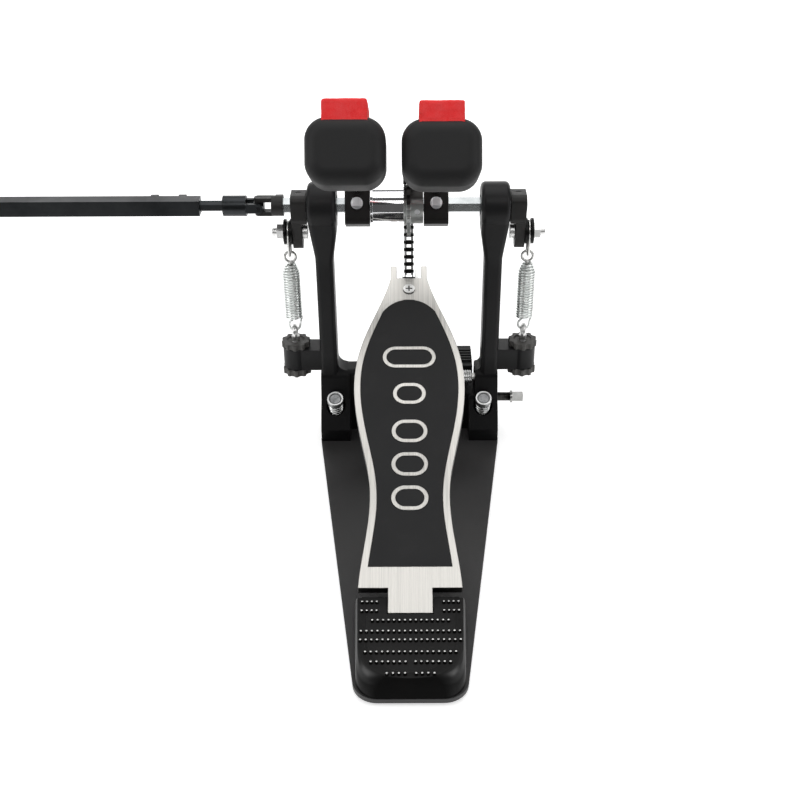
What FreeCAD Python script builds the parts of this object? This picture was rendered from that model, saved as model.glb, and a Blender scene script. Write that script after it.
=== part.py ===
import FreeCAD, Part
import math
import os
import Sketcher
from types import SimpleNamespace
from FreeCAD import Placement, Rotation, Vector

# Double bass drum pedal, in millimetres.
# X runs to the player's right, Y towards the drum and Z up.
# The origin is on the floor, under the middle of the axle.

SIZES = {
    # axle and frame
    "axle_height": 190.0,
    "hex_flats": 10.0,
    "journal_radius": 4.95,
    "post_x": 61.3,
    "head_width": 20.4,
    "head_radius": 16.5,
    "neck_width": 13.0,
    "neck_top": 152.0,
    "crossbar_top": 58.0,
    "crossbar_back": 9.0,
    "crossbar_front": 10.5,
    "foot_half": 68.5,
    "foot_back": 26.0,
    "bearing_radius": 11.0,
    "bearing_width": 8.0,
    # base and heel
    "pad_thick": 1.8,
    "base_thick": 3.2,
    "base_half": 69.0,
    "base_heel_half": 32.5,
    "base_heel_y": 290.0,
    "base_wide_y": 23.5,
    "tongue_half": 40.0,
    "tongue_reach": 46.0,
    "heel_half": 33.2,
    "heel_top": 21.0,
    "heel_step": 10.0,
    "hinge_y": 226.0,
    "hinge_z": 16.0,
    "hinge_radius": 2.5,
    # footboard
    "board_angle": 22.5,
    "board_thick": 7.0,
    "board_toe": 266.0,
    "board_toe_half": 13.6,
    "board_wide_half": 38.9,
    "board_waist_half": 26.2,
    "board_heel_half": 32.6,
    "shoulder": 10.5,
    "tab_half": 13.8,
    "prong_length": 12.0,
    "panel_rim": 4.6,
    "panel_thick": 1.2,
    # chain and sprocket
    "chain_pitch": 6.35,
    "chain_lean": 6.54,
    "roller_radius": 1.62,
    "pin_radius": 1.12,
    "plate_radius": 2.95,
    "plate_thick": 0.75,
    "sprocket_thick": 2.8,
    "sprocket_teeth": 20.0,
    "run_links": 13.0,
    # beaters
    "beater_lean": 60.6,
    "right_hub_x": 19.4,
    "left_hub_x": 36.2,
    "hub_width": 17.2,
    "rod_offset": 10.4,
    "rod_radius": 4.0,
    "beater_reach": 155.6,
    "left_extra": 6.0,
    "head_wide": 46.7,
    "head_deep": 38.9,
    "head_tall": 40.0,
    "felt_wide": 26.6,
    "felt_proud": 9.8,
    # rockers, links and springs
    "rocker_inner": 72.4,
    "rocker_outer": 83.2,
    "rocker_arm": 20.0,
    "bolt_radius": 3.0,
    "spring_x": 86.5,
    "link_length": 17.0,
    "link_wire": 1.15,
    "eye_radius": 4.0,
    "eye_wire": 1.0,
    "coil_radius": 5.6,
    "coil_wire": 0.75,
    "coil_pitch": 2.05,
    "coil_bottom": 101.0,
    "coil_turns": 18.25,
    "eyebolt_radius": 3.0,
    "eyebolt_eye_z": 88.5,
    "eyebolt_ring": 4.4,
    "eyebolt_wire": 1.9,
    "knob_radius": 10.8,
    "lug_radius": 9.9,
    "lug_bottom": 59.3,
    "lug_height": 17.2,
    # spurs and hoop clamp
    "spur_x": 57.0,
    "spur_y": 20.0,
    "spur_z": 40.5,
    "spur_tilt": 27.0,
    "spur_radius": 3.0,
    "jaw_y": 4.0,
    "jaw_z": 50.0,
    "jaw_left": 16.0,
    "jaw_right": 49.0,
    "side_screw_y": 2.0,
    "side_screw_z": 28.0,
    # sleeve and linkage
    "sleeve_radius": 12.0,
    "yoke_radius": 7.3,
    "joint_x": 106.0,
    "far_joint_x": 435.0,
    "tube_start": 148.0,
    "tube_side": 11.0,
    "inner_flats": 7.0,
    "cross_half": 3.5,
    "trunnion_radius": 1.6,
}

doc = FreeCAD.newDocument("double_pedal")
sheet = doc.addObject("Spreadsheet::Sheet", "Sizes")
for row, (name, value) in enumerate(SIZES.items(), 1):
    sheet.set(f"A{row}", name)
    sheet.set(f"B{row}", str(value))
    sheet.setAlias(f"B{row}", name)
doc.recompute()


class Size:
    """A number together with the sheet formula that gives it."""

    def __init__(self, value, text):
        self.value = float(value)
        self.text = text

    def __float__(self):
        return self.value

    def __add__(self, other):
        return Size(self.value + float(other), f"({self.text} + {formula(other)})")

    def __radd__(self, other):
        return Size(float(other) + self.value, f"({formula(other)} + {self.text})")

    def __sub__(self, other):
        return Size(self.value - float(other), f"({self.text} - {formula(other)})")

    def __rsub__(self, other):
        return Size(float(other) - self.value, f"({formula(other)} - {self.text})")

    def __mul__(self, other):
        return Size(self.value * float(other), f"({self.text} * {formula(other)})")

    __rmul__ = __mul__

    def __truediv__(self, other):
        return Size(self.value / float(other), f"({self.text} / {formula(other)})")

    def __neg__(self):
        return Size(-self.value, f"(-1 * {self.text})")


def formula(value):
    return value.text if isinstance(value, Size) else f"({float(value)!r})"


s = SimpleNamespace(**{name: Size(getattr(sheet, name), f"Sizes.{name}") for name in SIZES})
BASE_TOP = s.pad_thick + s.base_thick
AXLE = s.axle_height
ALONG = {
    "x": Rotation(Vector(0, 1, 0), 90),
    "y": Rotation(Vector(1, 0, 0), -90),
    "z": Rotation(),
}


def bind(item, **sizes):
    for prop, value in sizes.items():
        item.setExpression(prop, formula(value))
    return item


def place(item, x=0, y=0, z=0, tilt=None):
    """Put an object at a point, turned by tilt degrees about X."""
    if tilt is not None:
        item.Placement = Placement(Vector(), Rotation(Vector(1, 0, 0), float(tilt)))
        item.setExpression("Placement.Rotation.Angle", formula(tilt))
    for axis, value in (("x", x), ("y", y), ("z", z)):
        item.setExpression(f"Placement.Base.{axis}", formula(value))
    return item


def box(x, y, z):
    item = doc.addObject("Part::Box", "block")
    bind(item, Length=x[1] - x[0], Width=y[1] - y[0], Height=z[1] - z[0])
    return place(item, x[0], y[0], z[0])


def rod(along, radius, start, end, u=0, v=0):
    """A cylinder along an axis; u and v are its two other coordinates, in X, Y, Z order."""
    item = doc.addObject("Part::Cylinder", "rod")
    item.Placement = Placement(Vector(), ALONG[along])
    bind(item, Radius=radius, Height=end - start)
    spot = {"x": (start, u, v), "y": (u, start, v), "z": (u, v, start)}[along]
    return place(item, *spot)


def hexbar(flats, start, end, y=0, z=0):
    item = doc.addObject("Part::Prism", "hexbar")
    item.Polygon = 6
    item.Placement = Placement(Vector(), ALONG["x"])
    bind(item, Circumradius=flats * (1 / math.sqrt(3)), Height=end - start)
    return place(item, start, y, z)


def cone(along, r1, r2, start, end, u=0, v=0):
    item = doc.addObject("Part::Cone", "cone")
    item.Placement = Placement(Vector(), ALONG[along])
    bind(item, Radius1=r1, Radius2=r2, Height=end - start)
    spot = {"x": (start, u, v), "y": (u, start, v), "z": (u, v, start)}[along]
    return place(item, *spot)


def named(label, item):
    item.Label = label
    return item


def join(label, *items):
    item = doc.addObject("Part::MultiFuse", label)
    item.Shapes = list(items)
    item.Label = label
    return item


def cut(label, base, *tools):
    tool = tools[0]
    if len(tools) > 1:
        tool = join("tools", *tools)
    item = doc.addObject("Part::Cut", label)
    item.Base = base
    item.Tool = tool
    item.Label = label
    return item


def group(label, *items):
    item = doc.addObject("Part::Compound", label)
    item.Links = list(items)
    item.Label = label
    return item


def feature(label, shape, placement=None):
    item = doc.addObject("Part::Feature", label)
    item.Shape = shape
    item.Label = label
    if placement is not None:
        item.Placement = placement
    return item


def span(side, near, far):
    """The X range of something that lies from near to far on one side of the middle."""
    return (near, far) if side > 0 else (-far, -near)


def new_body(label):
    body = doc.addObject("PartDesign::Body", label)
    body.Label = label
    return body


def sketch(body, plane, offset=0, turn=None, base=(0, 0)):
    item = body.newObject("Sketcher::SketchObject", "sketch")
    support = next(part for part in body.Origin.OriginFeatures if part.Role == plane)
    item.AttachmentSupport = [(support, "")]
    item.MapMode = "FlatFace"
    if turn is not None:
        item.AttachmentOffset = Placement(Vector(), Rotation(Vector(1, 0, 0), float(turn)))
        item.setExpression("AttachmentOffset.Rotation.Angle", formula(turn))
        item.setExpression("AttachmentOffset.Base.x", formula(base[0]))
        item.setExpression("AttachmentOffset.Base.y", formula(base[1]))
    item.setExpression("AttachmentOffset.Base.z", formula(offset))
    return item


def fix(item, kind, where, value):
    index = item.addConstraint(Sketcher.Constraint(kind, -1, 1, *where, float(value)))
    item.setExpression(f"Constraints[{index}]", formula(value))


def polygon(item, points):
    first = item.GeometryCount
    count = len(points)
    spots = [Vector(float(x), float(y), 0) for x, y in points]
    for i in range(count):
        item.addGeometry(Part.LineSegment(spots[i], spots[(i + 1) % count]), False)
    for i in range(count):
        item.addConstraint(Sketcher.Constraint("Coincident", first + i, 2, first + (i + 1) % count, 1))
        fix(item, "DistanceX", (first + i, 1), points[i][0])
        fix(item, "DistanceY", (first + i, 1), points[i][1])
    return item


def circle(item, x, y, radius):
    index = item.addGeometry(Part.Circle(Vector(float(x), float(y), 0), Vector(0, 0, 1), float(radius)), False)
    fix(item, "DistanceX", (index, 3), x)
    fix(item, "DistanceY", (index, 3), y)
    held = item.addConstraint(Sketcher.Constraint("Radius", index, float(radius)))
    item.setExpression(f"Constraints[{held}]", formula(radius))
    return item


def both(points):
    """A closed outline from its right half, listed from one end of the middle line to the other."""
    return points + [(-x, y) for x, y in reversed(points)]


def pad(body, profile, length, symmetric=False):
    item = body.newObject("PartDesign::Pad", "pad")
    item.Profile = profile
    item.SideType = "Symmetric" if symmetric else "One side"
    return bind(item, Length=length)


def pocket(body, profile, length=None, reverse=False):
    item = body.newObject("PartDesign::Pocket", "pocket")
    item.Profile = profile
    item.Reversed = reverse
    if length is None:
        item.Type = "ThroughAll"
        item.SideType = "Symmetric"
    else:
        bind(item, Length=length)
    return item


def round_edges(body, last, radius, chosen, kind="Fillet"):
    """Round or bevel the edges of the last feature whose middle passes the test."""
    doc.recompute()
    names = []
    for number, edge in enumerate(last.Shape.Edges, 1):
        middle = edge.valueAt((edge.FirstParameter + edge.LastParameter) / 2)
        ends = [vertex.Point for vertex in edge.Vertexes]
        if chosen(middle, ends):
            names.append(f"Edge{number}")
    item = body.newObject(f"PartDesign::{kind}", "edges")
    item.Base = (last, names)
    return bind(item, **{"Radius" if kind == "Fillet" else "Size": radius})


def upright(spots):
    """A test for edges that run along Z through one of the X, Y spots."""
    def chosen(middle, ends):
        straight = len(ends) == 2 and abs(ends[0].x - ends[1].x) + abs(ends[0].y - ends[1].y) < 0.01
        return straight and any(abs(middle.x - float(x)) + abs(middle.y - float(y)) < 0.05 for x, y in spots)
    return chosen


def biarc(p0, t0, p1, t1):
    """Two arcs that leave p0 along t0 and reach p1 along t1."""
    chord = p1 - p0
    both_ways = t0 + t1
    spread = 2 - 2 * t0.dot(t1)
    along = chord.dot(both_ways)
    reach = (math.sqrt(along * along + spread * chord.dot(chord)) - along) / spread
    near = p0 + t0 * reach
    far = p1 - t1 * reach
    middle = (near + far) * 0.5
    arcs = []
    for a, corner, b in ((p0, near, middle), (middle, far, p1)):
        turn = (corner - a).getAngle(b - corner)
        weight = math.cos(turn / 2)
        arcs.append(Part.Arc(a, (a + b + corner * (2 * weight)) * (1 / (2 + 2 * weight)), b).toShape())
    return arcs


def winding(radius, rise, turns, start=0.0, grow=0.0, steps=4):
    """Points and directions of a turn about Z, sampled a few times a turn."""
    stops = []
    count = max(1, round(turns * steps))
    for i in range(count + 1):
        angle = turns * 2 * math.pi * i / count
        r = radius + grow * i / count
        spot = Vector(r * math.cos(start + angle), r * math.sin(start + angle), rise * i / count)
        lead = Vector(-r * math.sin(start + angle), r * math.cos(start + angle), rise / (turns * 2 * math.pi))
        lead += Vector(math.cos(start + angle), math.sin(start + angle), 0) * (grow / (turns * 2 * math.pi))
        stops.append((spot, lead.normalize()))
    return stops


def tube(stops, radius, lead_in=0.0, lead_out=0.0, closed=False):
    """One unbroken tube through the stops, with straight ends if asked for."""
    edges = []
    first, heading = stops[0]
    if lead_in:
        edges.append(Part.makeLine(first - heading * lead_in, first))
    for (p0, t0), (p1, t1) in zip(stops, stops[1:]):
        if t0.getAngle(t1) < 1e-6:
            edges.append(Part.makeLine(p0, p1))
        else:
            edges.extend(biarc(p0, t0, p1, t1))
    last, leaving = stops[-1]
    if lead_out:
        edges.append(Part.makeLine(last, last + leaving * lead_out))
    path = Part.Wire(edges)
    begin = first - heading * lead_in
    shell = Part.BRepOffsetAPI.MakePipeShell(path)
    shell.add(Part.Wire(Part.makeCircle(radius, begin, heading)))
    shell.build()
    if closed:
        return Part.Solid(Part.Shell(shell.shape().Faces))
    shell.makeSolid()
    return shell.shape()


def own_gap(stops, radius):
    """The least gap of a winding to itself, measured between points along it."""
    spots = []
    for (p0, t0), (p1, t1) in zip(stops, stops[1:]):
        spots.extend(p for arc in biarc(p0, t0, p1, t1) for p in arc.discretize(9)[:-1])
    walked = [0.0]
    for a, b in zip(spots, spots[1:]):
        walked.append(walked[-1] + (b - a).Length)
    least = 1e9
    for i, a in enumerate(spots):
        for j in range(i + 1, len(spots)):
            if walked[j] - walked[i] > 8 * radius:
                least = min(least, (spots[j] - a).Length)
    return least - 2 * radius


nodes = []

# Base plate, with the tongue that goes under the drum hoop
SPUR_SLOPE = math.tan(math.radians(float(s.spur_tilt)))
SPUR_HOLE_Y = (s.spur_z - BASE_TOP * 0.7) * SPUR_SLOPE - s.spur_y
SCREW_SPOTS = [(sign * x, y) for sign in (1, -1) for x, y in ((60.0, -20.5), (61.5, 6.5), (22.0, -224.0), (22.0, -262.0))]
base_outline = both([
    (s.base_heel_half, -s.base_heel_y),
    (s.base_half, -s.base_wide_y),
    (s.base_half, 14),
    (s.tongue_half, 14),
    (s.tongue_half, s.tongue_reach),
])
body = new_body("base_plate")
last = pad(body, polygon(sketch(body, "XY_Plane", s.pad_thick), base_outline), s.base_thick)
last = round_edges(body, last, 15, upright([(s.base_heel_half, -s.base_heel_y), (-s.base_heel_half, -s.base_heel_y)]))
last = round_edges(body, last, 5, upright([(sign * x, y) for sign in (1, -1) for x, y in (
    (s.base_half, -s.base_wide_y), (s.base_half, 14), (s.tongue_half, s.tongue_reach))]))
holes = sketch(body, "XY_Plane", s.pad_thick)
for x in (s.spur_x, -s.spur_x):
    circle(holes, x, SPUR_HOLE_Y, s.spur_radius + 2)
for x, y in SCREW_SPOTS:
    circle(holes, x, y, 2.5)
last = pocket(body, holes)
holes = sketch(body, "XY_Plane", s.pad_thick)
for x, y in SCREW_SPOTS:
    circle(holes, x, y, 4.2)
last = pocket(body, holes, s.base_thick * 0.5, reverse=True)
nodes.append(body)

body = new_body("base_pad")
pad_outline = both([
    (s.base_heel_half - 1.5, 2 - s.base_heel_y),
    (s.base_half - 1.5, -s.base_wide_y),
    (s.base_half - 1.5, 12.5),
])
last = pad(body, polygon(sketch(body, "XY_Plane"), pad_outline), s.pad_thick)
last = round_edges(body, last, 14, upright([
    (s.base_heel_half - 1.5, 2 - s.base_heel_y), (1.5 - s.base_heel_half, 2 - s.base_heel_y)]))
holes = sketch(body, "XY_Plane")
for x in (s.spur_x, -s.spur_x):
    circle(holes, x, SPUR_HOLE_Y + 0.6, s.spur_radius + 2.2)
pocket(body, holes)
nodes.append(body)

screws = []
for x, y in SCREW_SPOTS:
    shank = rod("z", 2.4, s.pad_thick + 1.3, BASE_TOP + (6 if y < -100 else 9), x, y)
    head = rod("z", 4.1, s.pad_thick + 0.1, s.pad_thick + s.base_thick * 0.5 - 0.1, x, y)
    screws.append(join("base_screw", shank, head))
nodes.append(group("base_screws", *screws))

# Heel plate: a low tier, a raised pad with a bevelled round end, and a slot for the footboard's tab
tier = new_body("heel_tier")
low = both([(s.heel_half + 2, -213), (s.base_heel_half - 0.8, 0.8 - s.base_heel_y)])
last = pad(tier, polygon(sketch(tier, "XY_Plane", BASE_TOP), low), s.heel_step - BASE_TOP)
round_edges(tier, last, 15, upright([(x, y) for x, y in low if float(y) < -250]))
body = new_body("heel_pad")
high = both([(s.heel_half, 4.7 - s.hinge_y), (s.heel_half - 2.5, 2.5 - s.base_heel_y)])
last = pad(body, polygon(sketch(body, "XY_Plane", s.heel_step - 1), high), s.heel_top - s.heel_step + 1)
last = round_edges(body, last, 22, upright([(x, y) for x, y in high if float(y) < -250]))


def heel_rim(middle, ends):
    return abs(middle.z - float(s.heel_top)) < 0.01 and middle.y < -float(s.hinge_y) - 4


round_edges(body, last, 3, heel_rim, "Chamfer")
slot = box((-s.tab_half - 0.6, s.tab_half + 0.6), (-10.5 - s.hinge_y, 20 - s.hinge_y), (s.heel_step + 0.2, s.heel_top + 5))
hinge = rod("x", s.hinge_radius + 0.03, -50, 50, -s.hinge_y, s.hinge_z)
drills = [rod("z", 2.43, BASE_TOP - 1, BASE_TOP + 6.2, x, y) for x, y in SCREW_SPOTS if y < -100]
nodes.append(cut("heel_plate", join("heel", tier, body), slot, hinge, *drills))
nodes.append(named("hinge_pin", rod("x", s.hinge_radius, -s.heel_half + 1, s.heel_half - 1, -s.hinge_y, s.hinge_z)))

# Frame casting: crossbar with feet, two posts with spring lugs, and round bearing heads, in one piece
body = new_body("crossbar")
half_neck = s.neck_width / 2
half_head = s.head_width / 2
neck_out = s.post_x + half_neck
neck_in = s.post_x - half_neck
front = both([(s.foot_half, BASE_TOP), (s.foot_half, 26), (neck_out, s.crossbar_top)])
last = pad(body, polygon(sketch(body, "XZ_Plane"), front), 70, symmetric=True)
sides = sketch(body, "YZ_Plane")
polygon(sides, [
    (-45, 1),
    (-s.foot_back, 1),
    (-s.foot_back, 15),
    (-s.crossbar_back - 4, 35),
    (-s.crossbar_back - 1, s.crossbar_top + 2),
    (-45, s.crossbar_top + 2),
])
polygon(sides, [
    (45, 1),
    (s.crossbar_front + 4, 1),
    (s.crossbar_front + 3, 22),
    (s.crossbar_front, s.crossbar_top + 2),
    (45, s.crossbar_top + 2),
])
last = pocket(body, sides)


def bar_top(middle, ends):
    return abs(middle.z - float(s.crossbar_top)) < 0.05 and abs(ends[0].x - ends[-1].x) > 20


last = round_edges(body, last, 6, bar_top)
middle_gap = both([(46, -45), (46, -s.crossbar_back)])
last = pocket(body, polygon(sketch(body, "XY_Plane", BASE_TOP), middle_gap))
for side in (1, -1):
    pit = sketch(body, "XY_Plane", s.spur_z, s.spur_tilt, (side * s.spur_x, -s.spur_y))
    last = pocket(body, circle(pit, 0, 0, s.spur_radius + 0.15))
    pit = sketch(body, "XY_Plane", s.spur_z - 17.8, s.spur_tilt, (side * s.spur_x, 20 * 0.454 - s.spur_y))
    last = pocket(body, circle(pit, 0, 0, s.spur_radius + 4.3), 60, reverse=True)
jaw_seat = [(-2 - s.jaw_left, -45), (1.5 + s.jaw_right, -45), (1.5 + s.jaw_right, 45), (-2 - s.jaw_left, 45)]
last = pocket(body, polygon(sketch(body, "XY_Plane", s.crossbar_top + 10), jaw_seat), 30)
tail_slot = [(25, -45), (40, -45), (40, 7.4), (25, 7.4)]
last = pocket(body, polygon(sketch(body, "XY_Plane", s.crossbar_top), tail_slot), s.crossbar_top - 21)
last = pocket(body, circle(sketch(body, "YZ_Plane", 60), -s.jaw_y, s.jaw_z, 3.03), 95)
last = pocket(body, circle(sketch(body, "YZ_Plane", s.foot_half + 3.5), s.side_screw_y, s.side_screw_z, 3.7), s.foot_half - 38.5)
last = pocket(body, circle(sketch(body, "YZ_Plane", 47.5), s.side_screw_y, s.side_screw_z, 5.0), 10)
holes = sketch(body, "XY_Plane", BASE_TOP)
for x, y in SCREW_SPOTS:
    if y > -100:
        circle(holes, x, y, 2.43)
pocket(body, holes, 9.2, reverse=True)
casting = [body]
bores = [rod("x", 7.4, -90, 90, 0, AXLE)]


def lying(spots):
    """A test for edges that run along Y through one of the X, Z spots, on either side."""
    def chosen(middle, ends):
        return any(abs(abs(middle.x) - float(x)) + abs(middle.z - float(z)) < 0.05 for x, z in spots)
    return chosen


def post_bend(middle, ends):
    return abs(abs(middle.y) - 8.5) + abs(middle.z - float(s.neck_top) + 4) < 0.05


def post_corner(middle, ends):
    return abs(ends[0].z - ends[-1].z) > 0.3 and abs(middle.y) > 5


for side in (1, -1):
    body = new_body("post")
    head_out = s.post_x + half_head - 0.4
    head_in = s.post_x - half_head + 0.4
    profile = [
        (neck_in, s.crossbar_top - 4),
        (neck_out, s.crossbar_top - 4),
        (neck_out, s.neck_top),
        (head_out, AXLE - 12),
        (head_out, AXLE),
        (head_in, AXLE),
        (head_in, AXLE - 18),
        (neck_in, s.neck_top - 2),
    ]
    outline = sketch(body, "XZ_Plane")
    last = pad(body, polygon(outline, [(side * x, z) for x, z in profile]), 50, symmetric=True)
    last = round_edges(body, last, 22, lying([(neck_out, s.neck_top), (neck_in, s.neck_top - 2)]))
    last = round_edges(body, last, 12, lying([(head_out, AXLE - 12), (head_in, AXLE - 18)]))
    sides = sketch(body, "YZ_Plane")
    for sign in (1, -1):
        polygon(sides, [(sign * y, z) for y, z in (
            (40, 40), (10.2, 40), (8.5, s.neck_top - 4), (15.2, AXLE + 2), (40, AXLE + 2))])
    last = pocket(body, sides)
    last = round_edges(body, last, 60, post_bend)
    last = round_edges(body, last, 3, post_corner)
    lug = circle(sketch(body, "XY_Plane", s.lug_bottom), side * s.spring_x, 0, s.lug_radius)
    last = pad(body, polygon(sketch(body, "XY_Plane", s.lug_bottom), [
        (side * (s.post_x + 2), -9), (side * (s.post_x + 2), 9),
        (side * s.spring_x, 9), (side * s.spring_x, -9)]), s.lug_height)
    last = pad(body, lug, s.lug_height)
    pocket(body, circle(sketch(body, "XY_Plane"), side * s.spring_x, 0, s.eyebolt_radius + 0.5))
    casting.append(body)
    radius = 4 if side > 0 else 7
    body = new_body("post_root")
    root = [(neck_in + 1, s.crossbar_top - 1), (neck_in + 1, s.crossbar_top + radius),
            (neck_in - radius, s.crossbar_top + radius), (neck_in - radius, s.crossbar_top - 1)]
    last = pad(body, polygon(sketch(body, "XZ_Plane"), [(side * x, z) for x, z in root]), 15, symmetric=True)
    hollow = circle(sketch(body, "XZ_Plane"), side * (neck_in - radius), s.crossbar_top + radius, radius)
    pocket(body, hollow)
    casting.append(body)
    body = new_body("post_head")
    ends = span(side, s.post_x - half_head, s.post_x + half_head)
    last = pad(body, circle(sketch(body, "YZ_Plane", ends[0]), 0, AXLE, s.head_radius), s.head_width)
    round_edges(body, last, 3.4, lambda middle, ends: len(ends) == 1 and abs(middle.x) > 1 and ends[0].z > 0)
    casting.append(body)
    ends = span(side, s.post_x + half_head - s.bearing_width - 2, s.post_x + half_head + 5)
    bores.append(rod("x", s.bearing_radius + 0.02, *ends, 0, AXLE))
nodes.append(cut("frame_casting", join("casting", *casting), *bores))

bearings = []
for side in (1, -1):
    ends = span(side, s.post_x + half_head - s.bearing_width - 1.9, s.post_x + half_head - 1.9)
    ring = rod("x", s.bearing_radius, *ends, 0, AXLE)
    bearings.append(cut("bearing", ring, rod("x", s.journal_radius + 0.05, ends[0] - 1, ends[1] + 1, 0, AXLE)))
nodes.append(group("axle_bearings", *bearings))

# Spurs, their springs, and the spring of the hoop clamp
spur_coil = winding(4.9, 13.4, 4)
print("spur spring gap", round(own_gap(spur_coil, 0.75), 2))
small_springs = []
for side, hand in ((1, "right"), (-1, "left")):
    spot = (side * s.spur_x, -s.spur_y, s.spur_z)
    stem = rod("z", s.spur_radius, -41, -2)
    tip = cone("z", 0.6, s.spur_radius, -44.5, -41)
    head = rod("z", 6.1, -4.5, 0)
    dish = rod("z", 4.9, -0.7, 1)
    spur = cut(f"{hand}_spur", join("spur", stem, tip, head), dish)
    nodes.append(place(spur, *spot, tilt=s.spur_tilt))
    turned = Placement(Vector(*map(float, spot)), Rotation(Vector(1, 0, 0), float(s.spur_tilt)))
    coil = tube([(p + Vector(0, 0, -18.95), t) for p, t in spur_coil], 0.75)
    small_springs.append(feature("spur_spring", coil, turned))
clamp_coil = winding(4.6, 7.6, 4, start=math.pi / 2)
print("clamp spring gap", round(own_gap(clamp_coil, 0.7), 2))
clamp_place = Placement(Vector(40, -float(s.jaw_y), float(s.jaw_z)), Rotation(Vector(0, 1, 0), 90))
small_springs.append(feature("clamp_spring", tube(clamp_coil, 0.7, 3.0, 3.0), clamp_place))
nodes.append(group("small_springs", *small_springs))

# Hoop clamp: the jaw turns on its pin, and the cone of the side screw pushes the jaw's tail
nodes.append(named("clamp_pin", rod("x", 3.0, -s.jaw_left - 17, 59, -s.jaw_y, s.jaw_z)))
barrel = rod("x", 6.6, -s.jaw_left, 38, -s.jaw_y, s.jaw_z)
plate = box((-s.jaw_left, s.jaw_right), (2.2, 36), (s.jaw_z - 0.5, s.jaw_z + 6))
nose = box((-s.jaw_left, s.jaw_right), (30, 44), (29, s.jaw_z + 6))
tail = box((28, 36), (-7, 0.9), (24, s.jaw_z))
ribs = [box((-s.jaw_left, s.jaw_right), (y, y + 1.8), (s.jaw_z + 5.5, s.jaw_z + 7.2)) for y in (9, 13, 17, 21, 25)]
bore = rod("x", 3.06, -s.jaw_left - 1, 39, -s.jaw_y, s.jaw_z)
bevel = box((-s.jaw_left - 1, s.jaw_right + 1), (-12, 12), (-12, 12))
place(bevel, -s.jaw_left - 1, 44, s.jaw_z - 4, tilt=45)
nodes.append(cut("clamp_jaw", join("jaw", barrel, plate, nose, tail, *ribs), bore, bevel))
nodes.append(named("jaw_pad", box((2 - s.jaw_left, s.jaw_right - 2), (31, 43), (26.5, 29))))
screw = join(
    "clamp_screw",
    cone("x", 0.8, 4.2, 36.5, 44.5, s.side_screw_y, s.side_screw_z),
    rod("x", 3.4, 44.5, s.foot_half + 11.5, s.side_screw_y, s.side_screw_z),
    rod("x", 4.9, s.foot_half + 11, s.foot_half + 12.4, s.side_screw_y, s.side_screw_z),
    box((s.foot_half + 12, s.foot_half + 21), (s.side_screw_y - 2.7, s.side_screw_y + 2.7),
        (s.side_screw_z - 2.7, s.side_screw_z + 2.7)),
)
nodes.append(screw)

# Footboard, drawn flat about its hinge line: X across, Y along the board, Z out of its top
LEAN = math.radians(float(s.chain_lean))
TILT = math.radians(float(s.board_angle))
TEETH = round(float(s.sprocket_teeth))
STEP = 2 * math.pi / TEETH
PITCH_RADIUS = s.chain_pitch * (0.5 / math.sin(STEP / 2))
RUN = round(float(s.run_links))


def wrapped(k):
    """Pin centre number k on the sprocket; number 0 is level with the axle, on the drum side."""
    return Vector(0, float(PITCH_RADIUS) * math.cos(k * STEP), float(AXLE) + float(PITCH_RADIUS) * math.sin(k * STEP))


# The run of the chain hangs from pin number 2 of the sprocket
down = Vector(0, math.sin(LEAN), -math.cos(LEAN)) * float(s.chain_pitch)
toe_pin = wrapped(2) + down * RUN
reach_y = toe_pin.y + float(s.hinge_y)
reach_z = toe_pin.z - float(s.hinge_z)
PIN_ALONG = reach_y * math.cos(TILT) + reach_z * math.sin(TILT)
PIN_OUT = reach_z * math.cos(TILT) - reach_y * math.sin(TILT)


def board_face(inset, start, end, crown=0):
    """The waisted outline of the board, drawn in by an inset, between two stations."""
    wide, waist, heel, toe = (float(v) for v in (s.board_wide_half, s.board_waist_half, s.board_heel_half, s.board_toe_half))
    length = float(s.board_toe)
    stations = [
        (0.0, 1.02 * heel), (0.16, 0.42 * heel + 0.58 * waist), (0.293, waist), (0.455, 0.46 * waist + 0.54 * wide),
        (0.624, wide), (0.70, 0.965 * wide), (0.82, 0.62 * wide + 0.38 * toe), (0.945, 0.15 * wide + 0.85 * toe), (1.0, toe),
    ]
    curve = Part.BSplineCurve()
    curve.interpolate([Vector(half, share * length, 0) for share, half in stations])
    edge = curve.discretize(600)
    right = []
    for i in range(11):
        along = start + (end - start) * i / 10
        nearest = min(edge, key=lambda spot: abs(spot.y - along))
        right.append(Vector(nearest.x - inset, along, 0))
    side = Part.BSplineCurve()
    side.interpolate(right)
    other = Part.BSplineCurve()
    other.interpolate([Vector(-p.x, p.y, 0) for p in right[::-1]])
    corner = Vector(-right[-1].x, end, 0)
    top = Part.makeLine(right[-1], corner)
    if crown:
        top = Part.Arc(right[-1], Vector(0, end + crown, 0), corner).toShape()
    bottom = Part.makeLine(Vector(-right[0].x, start, 0), right[0])
    return Part.Face(Part.Wire([side.toShape(), top, other.toShape(), bottom]))


def raised(label, face, low, high):
    flat = feature(label + "_outline", face)
    flat.Placement = Placement(Vector(0, 0, float(low)), Rotation())
    item = doc.addObject("Part::Extrusion", label)
    item.Base = flat
    item.DirMode = "Custom"
    item.Dir = Vector(0, 0, 1)
    item.Solid = True
    return bind(item, LengthFwd=high - low)


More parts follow.
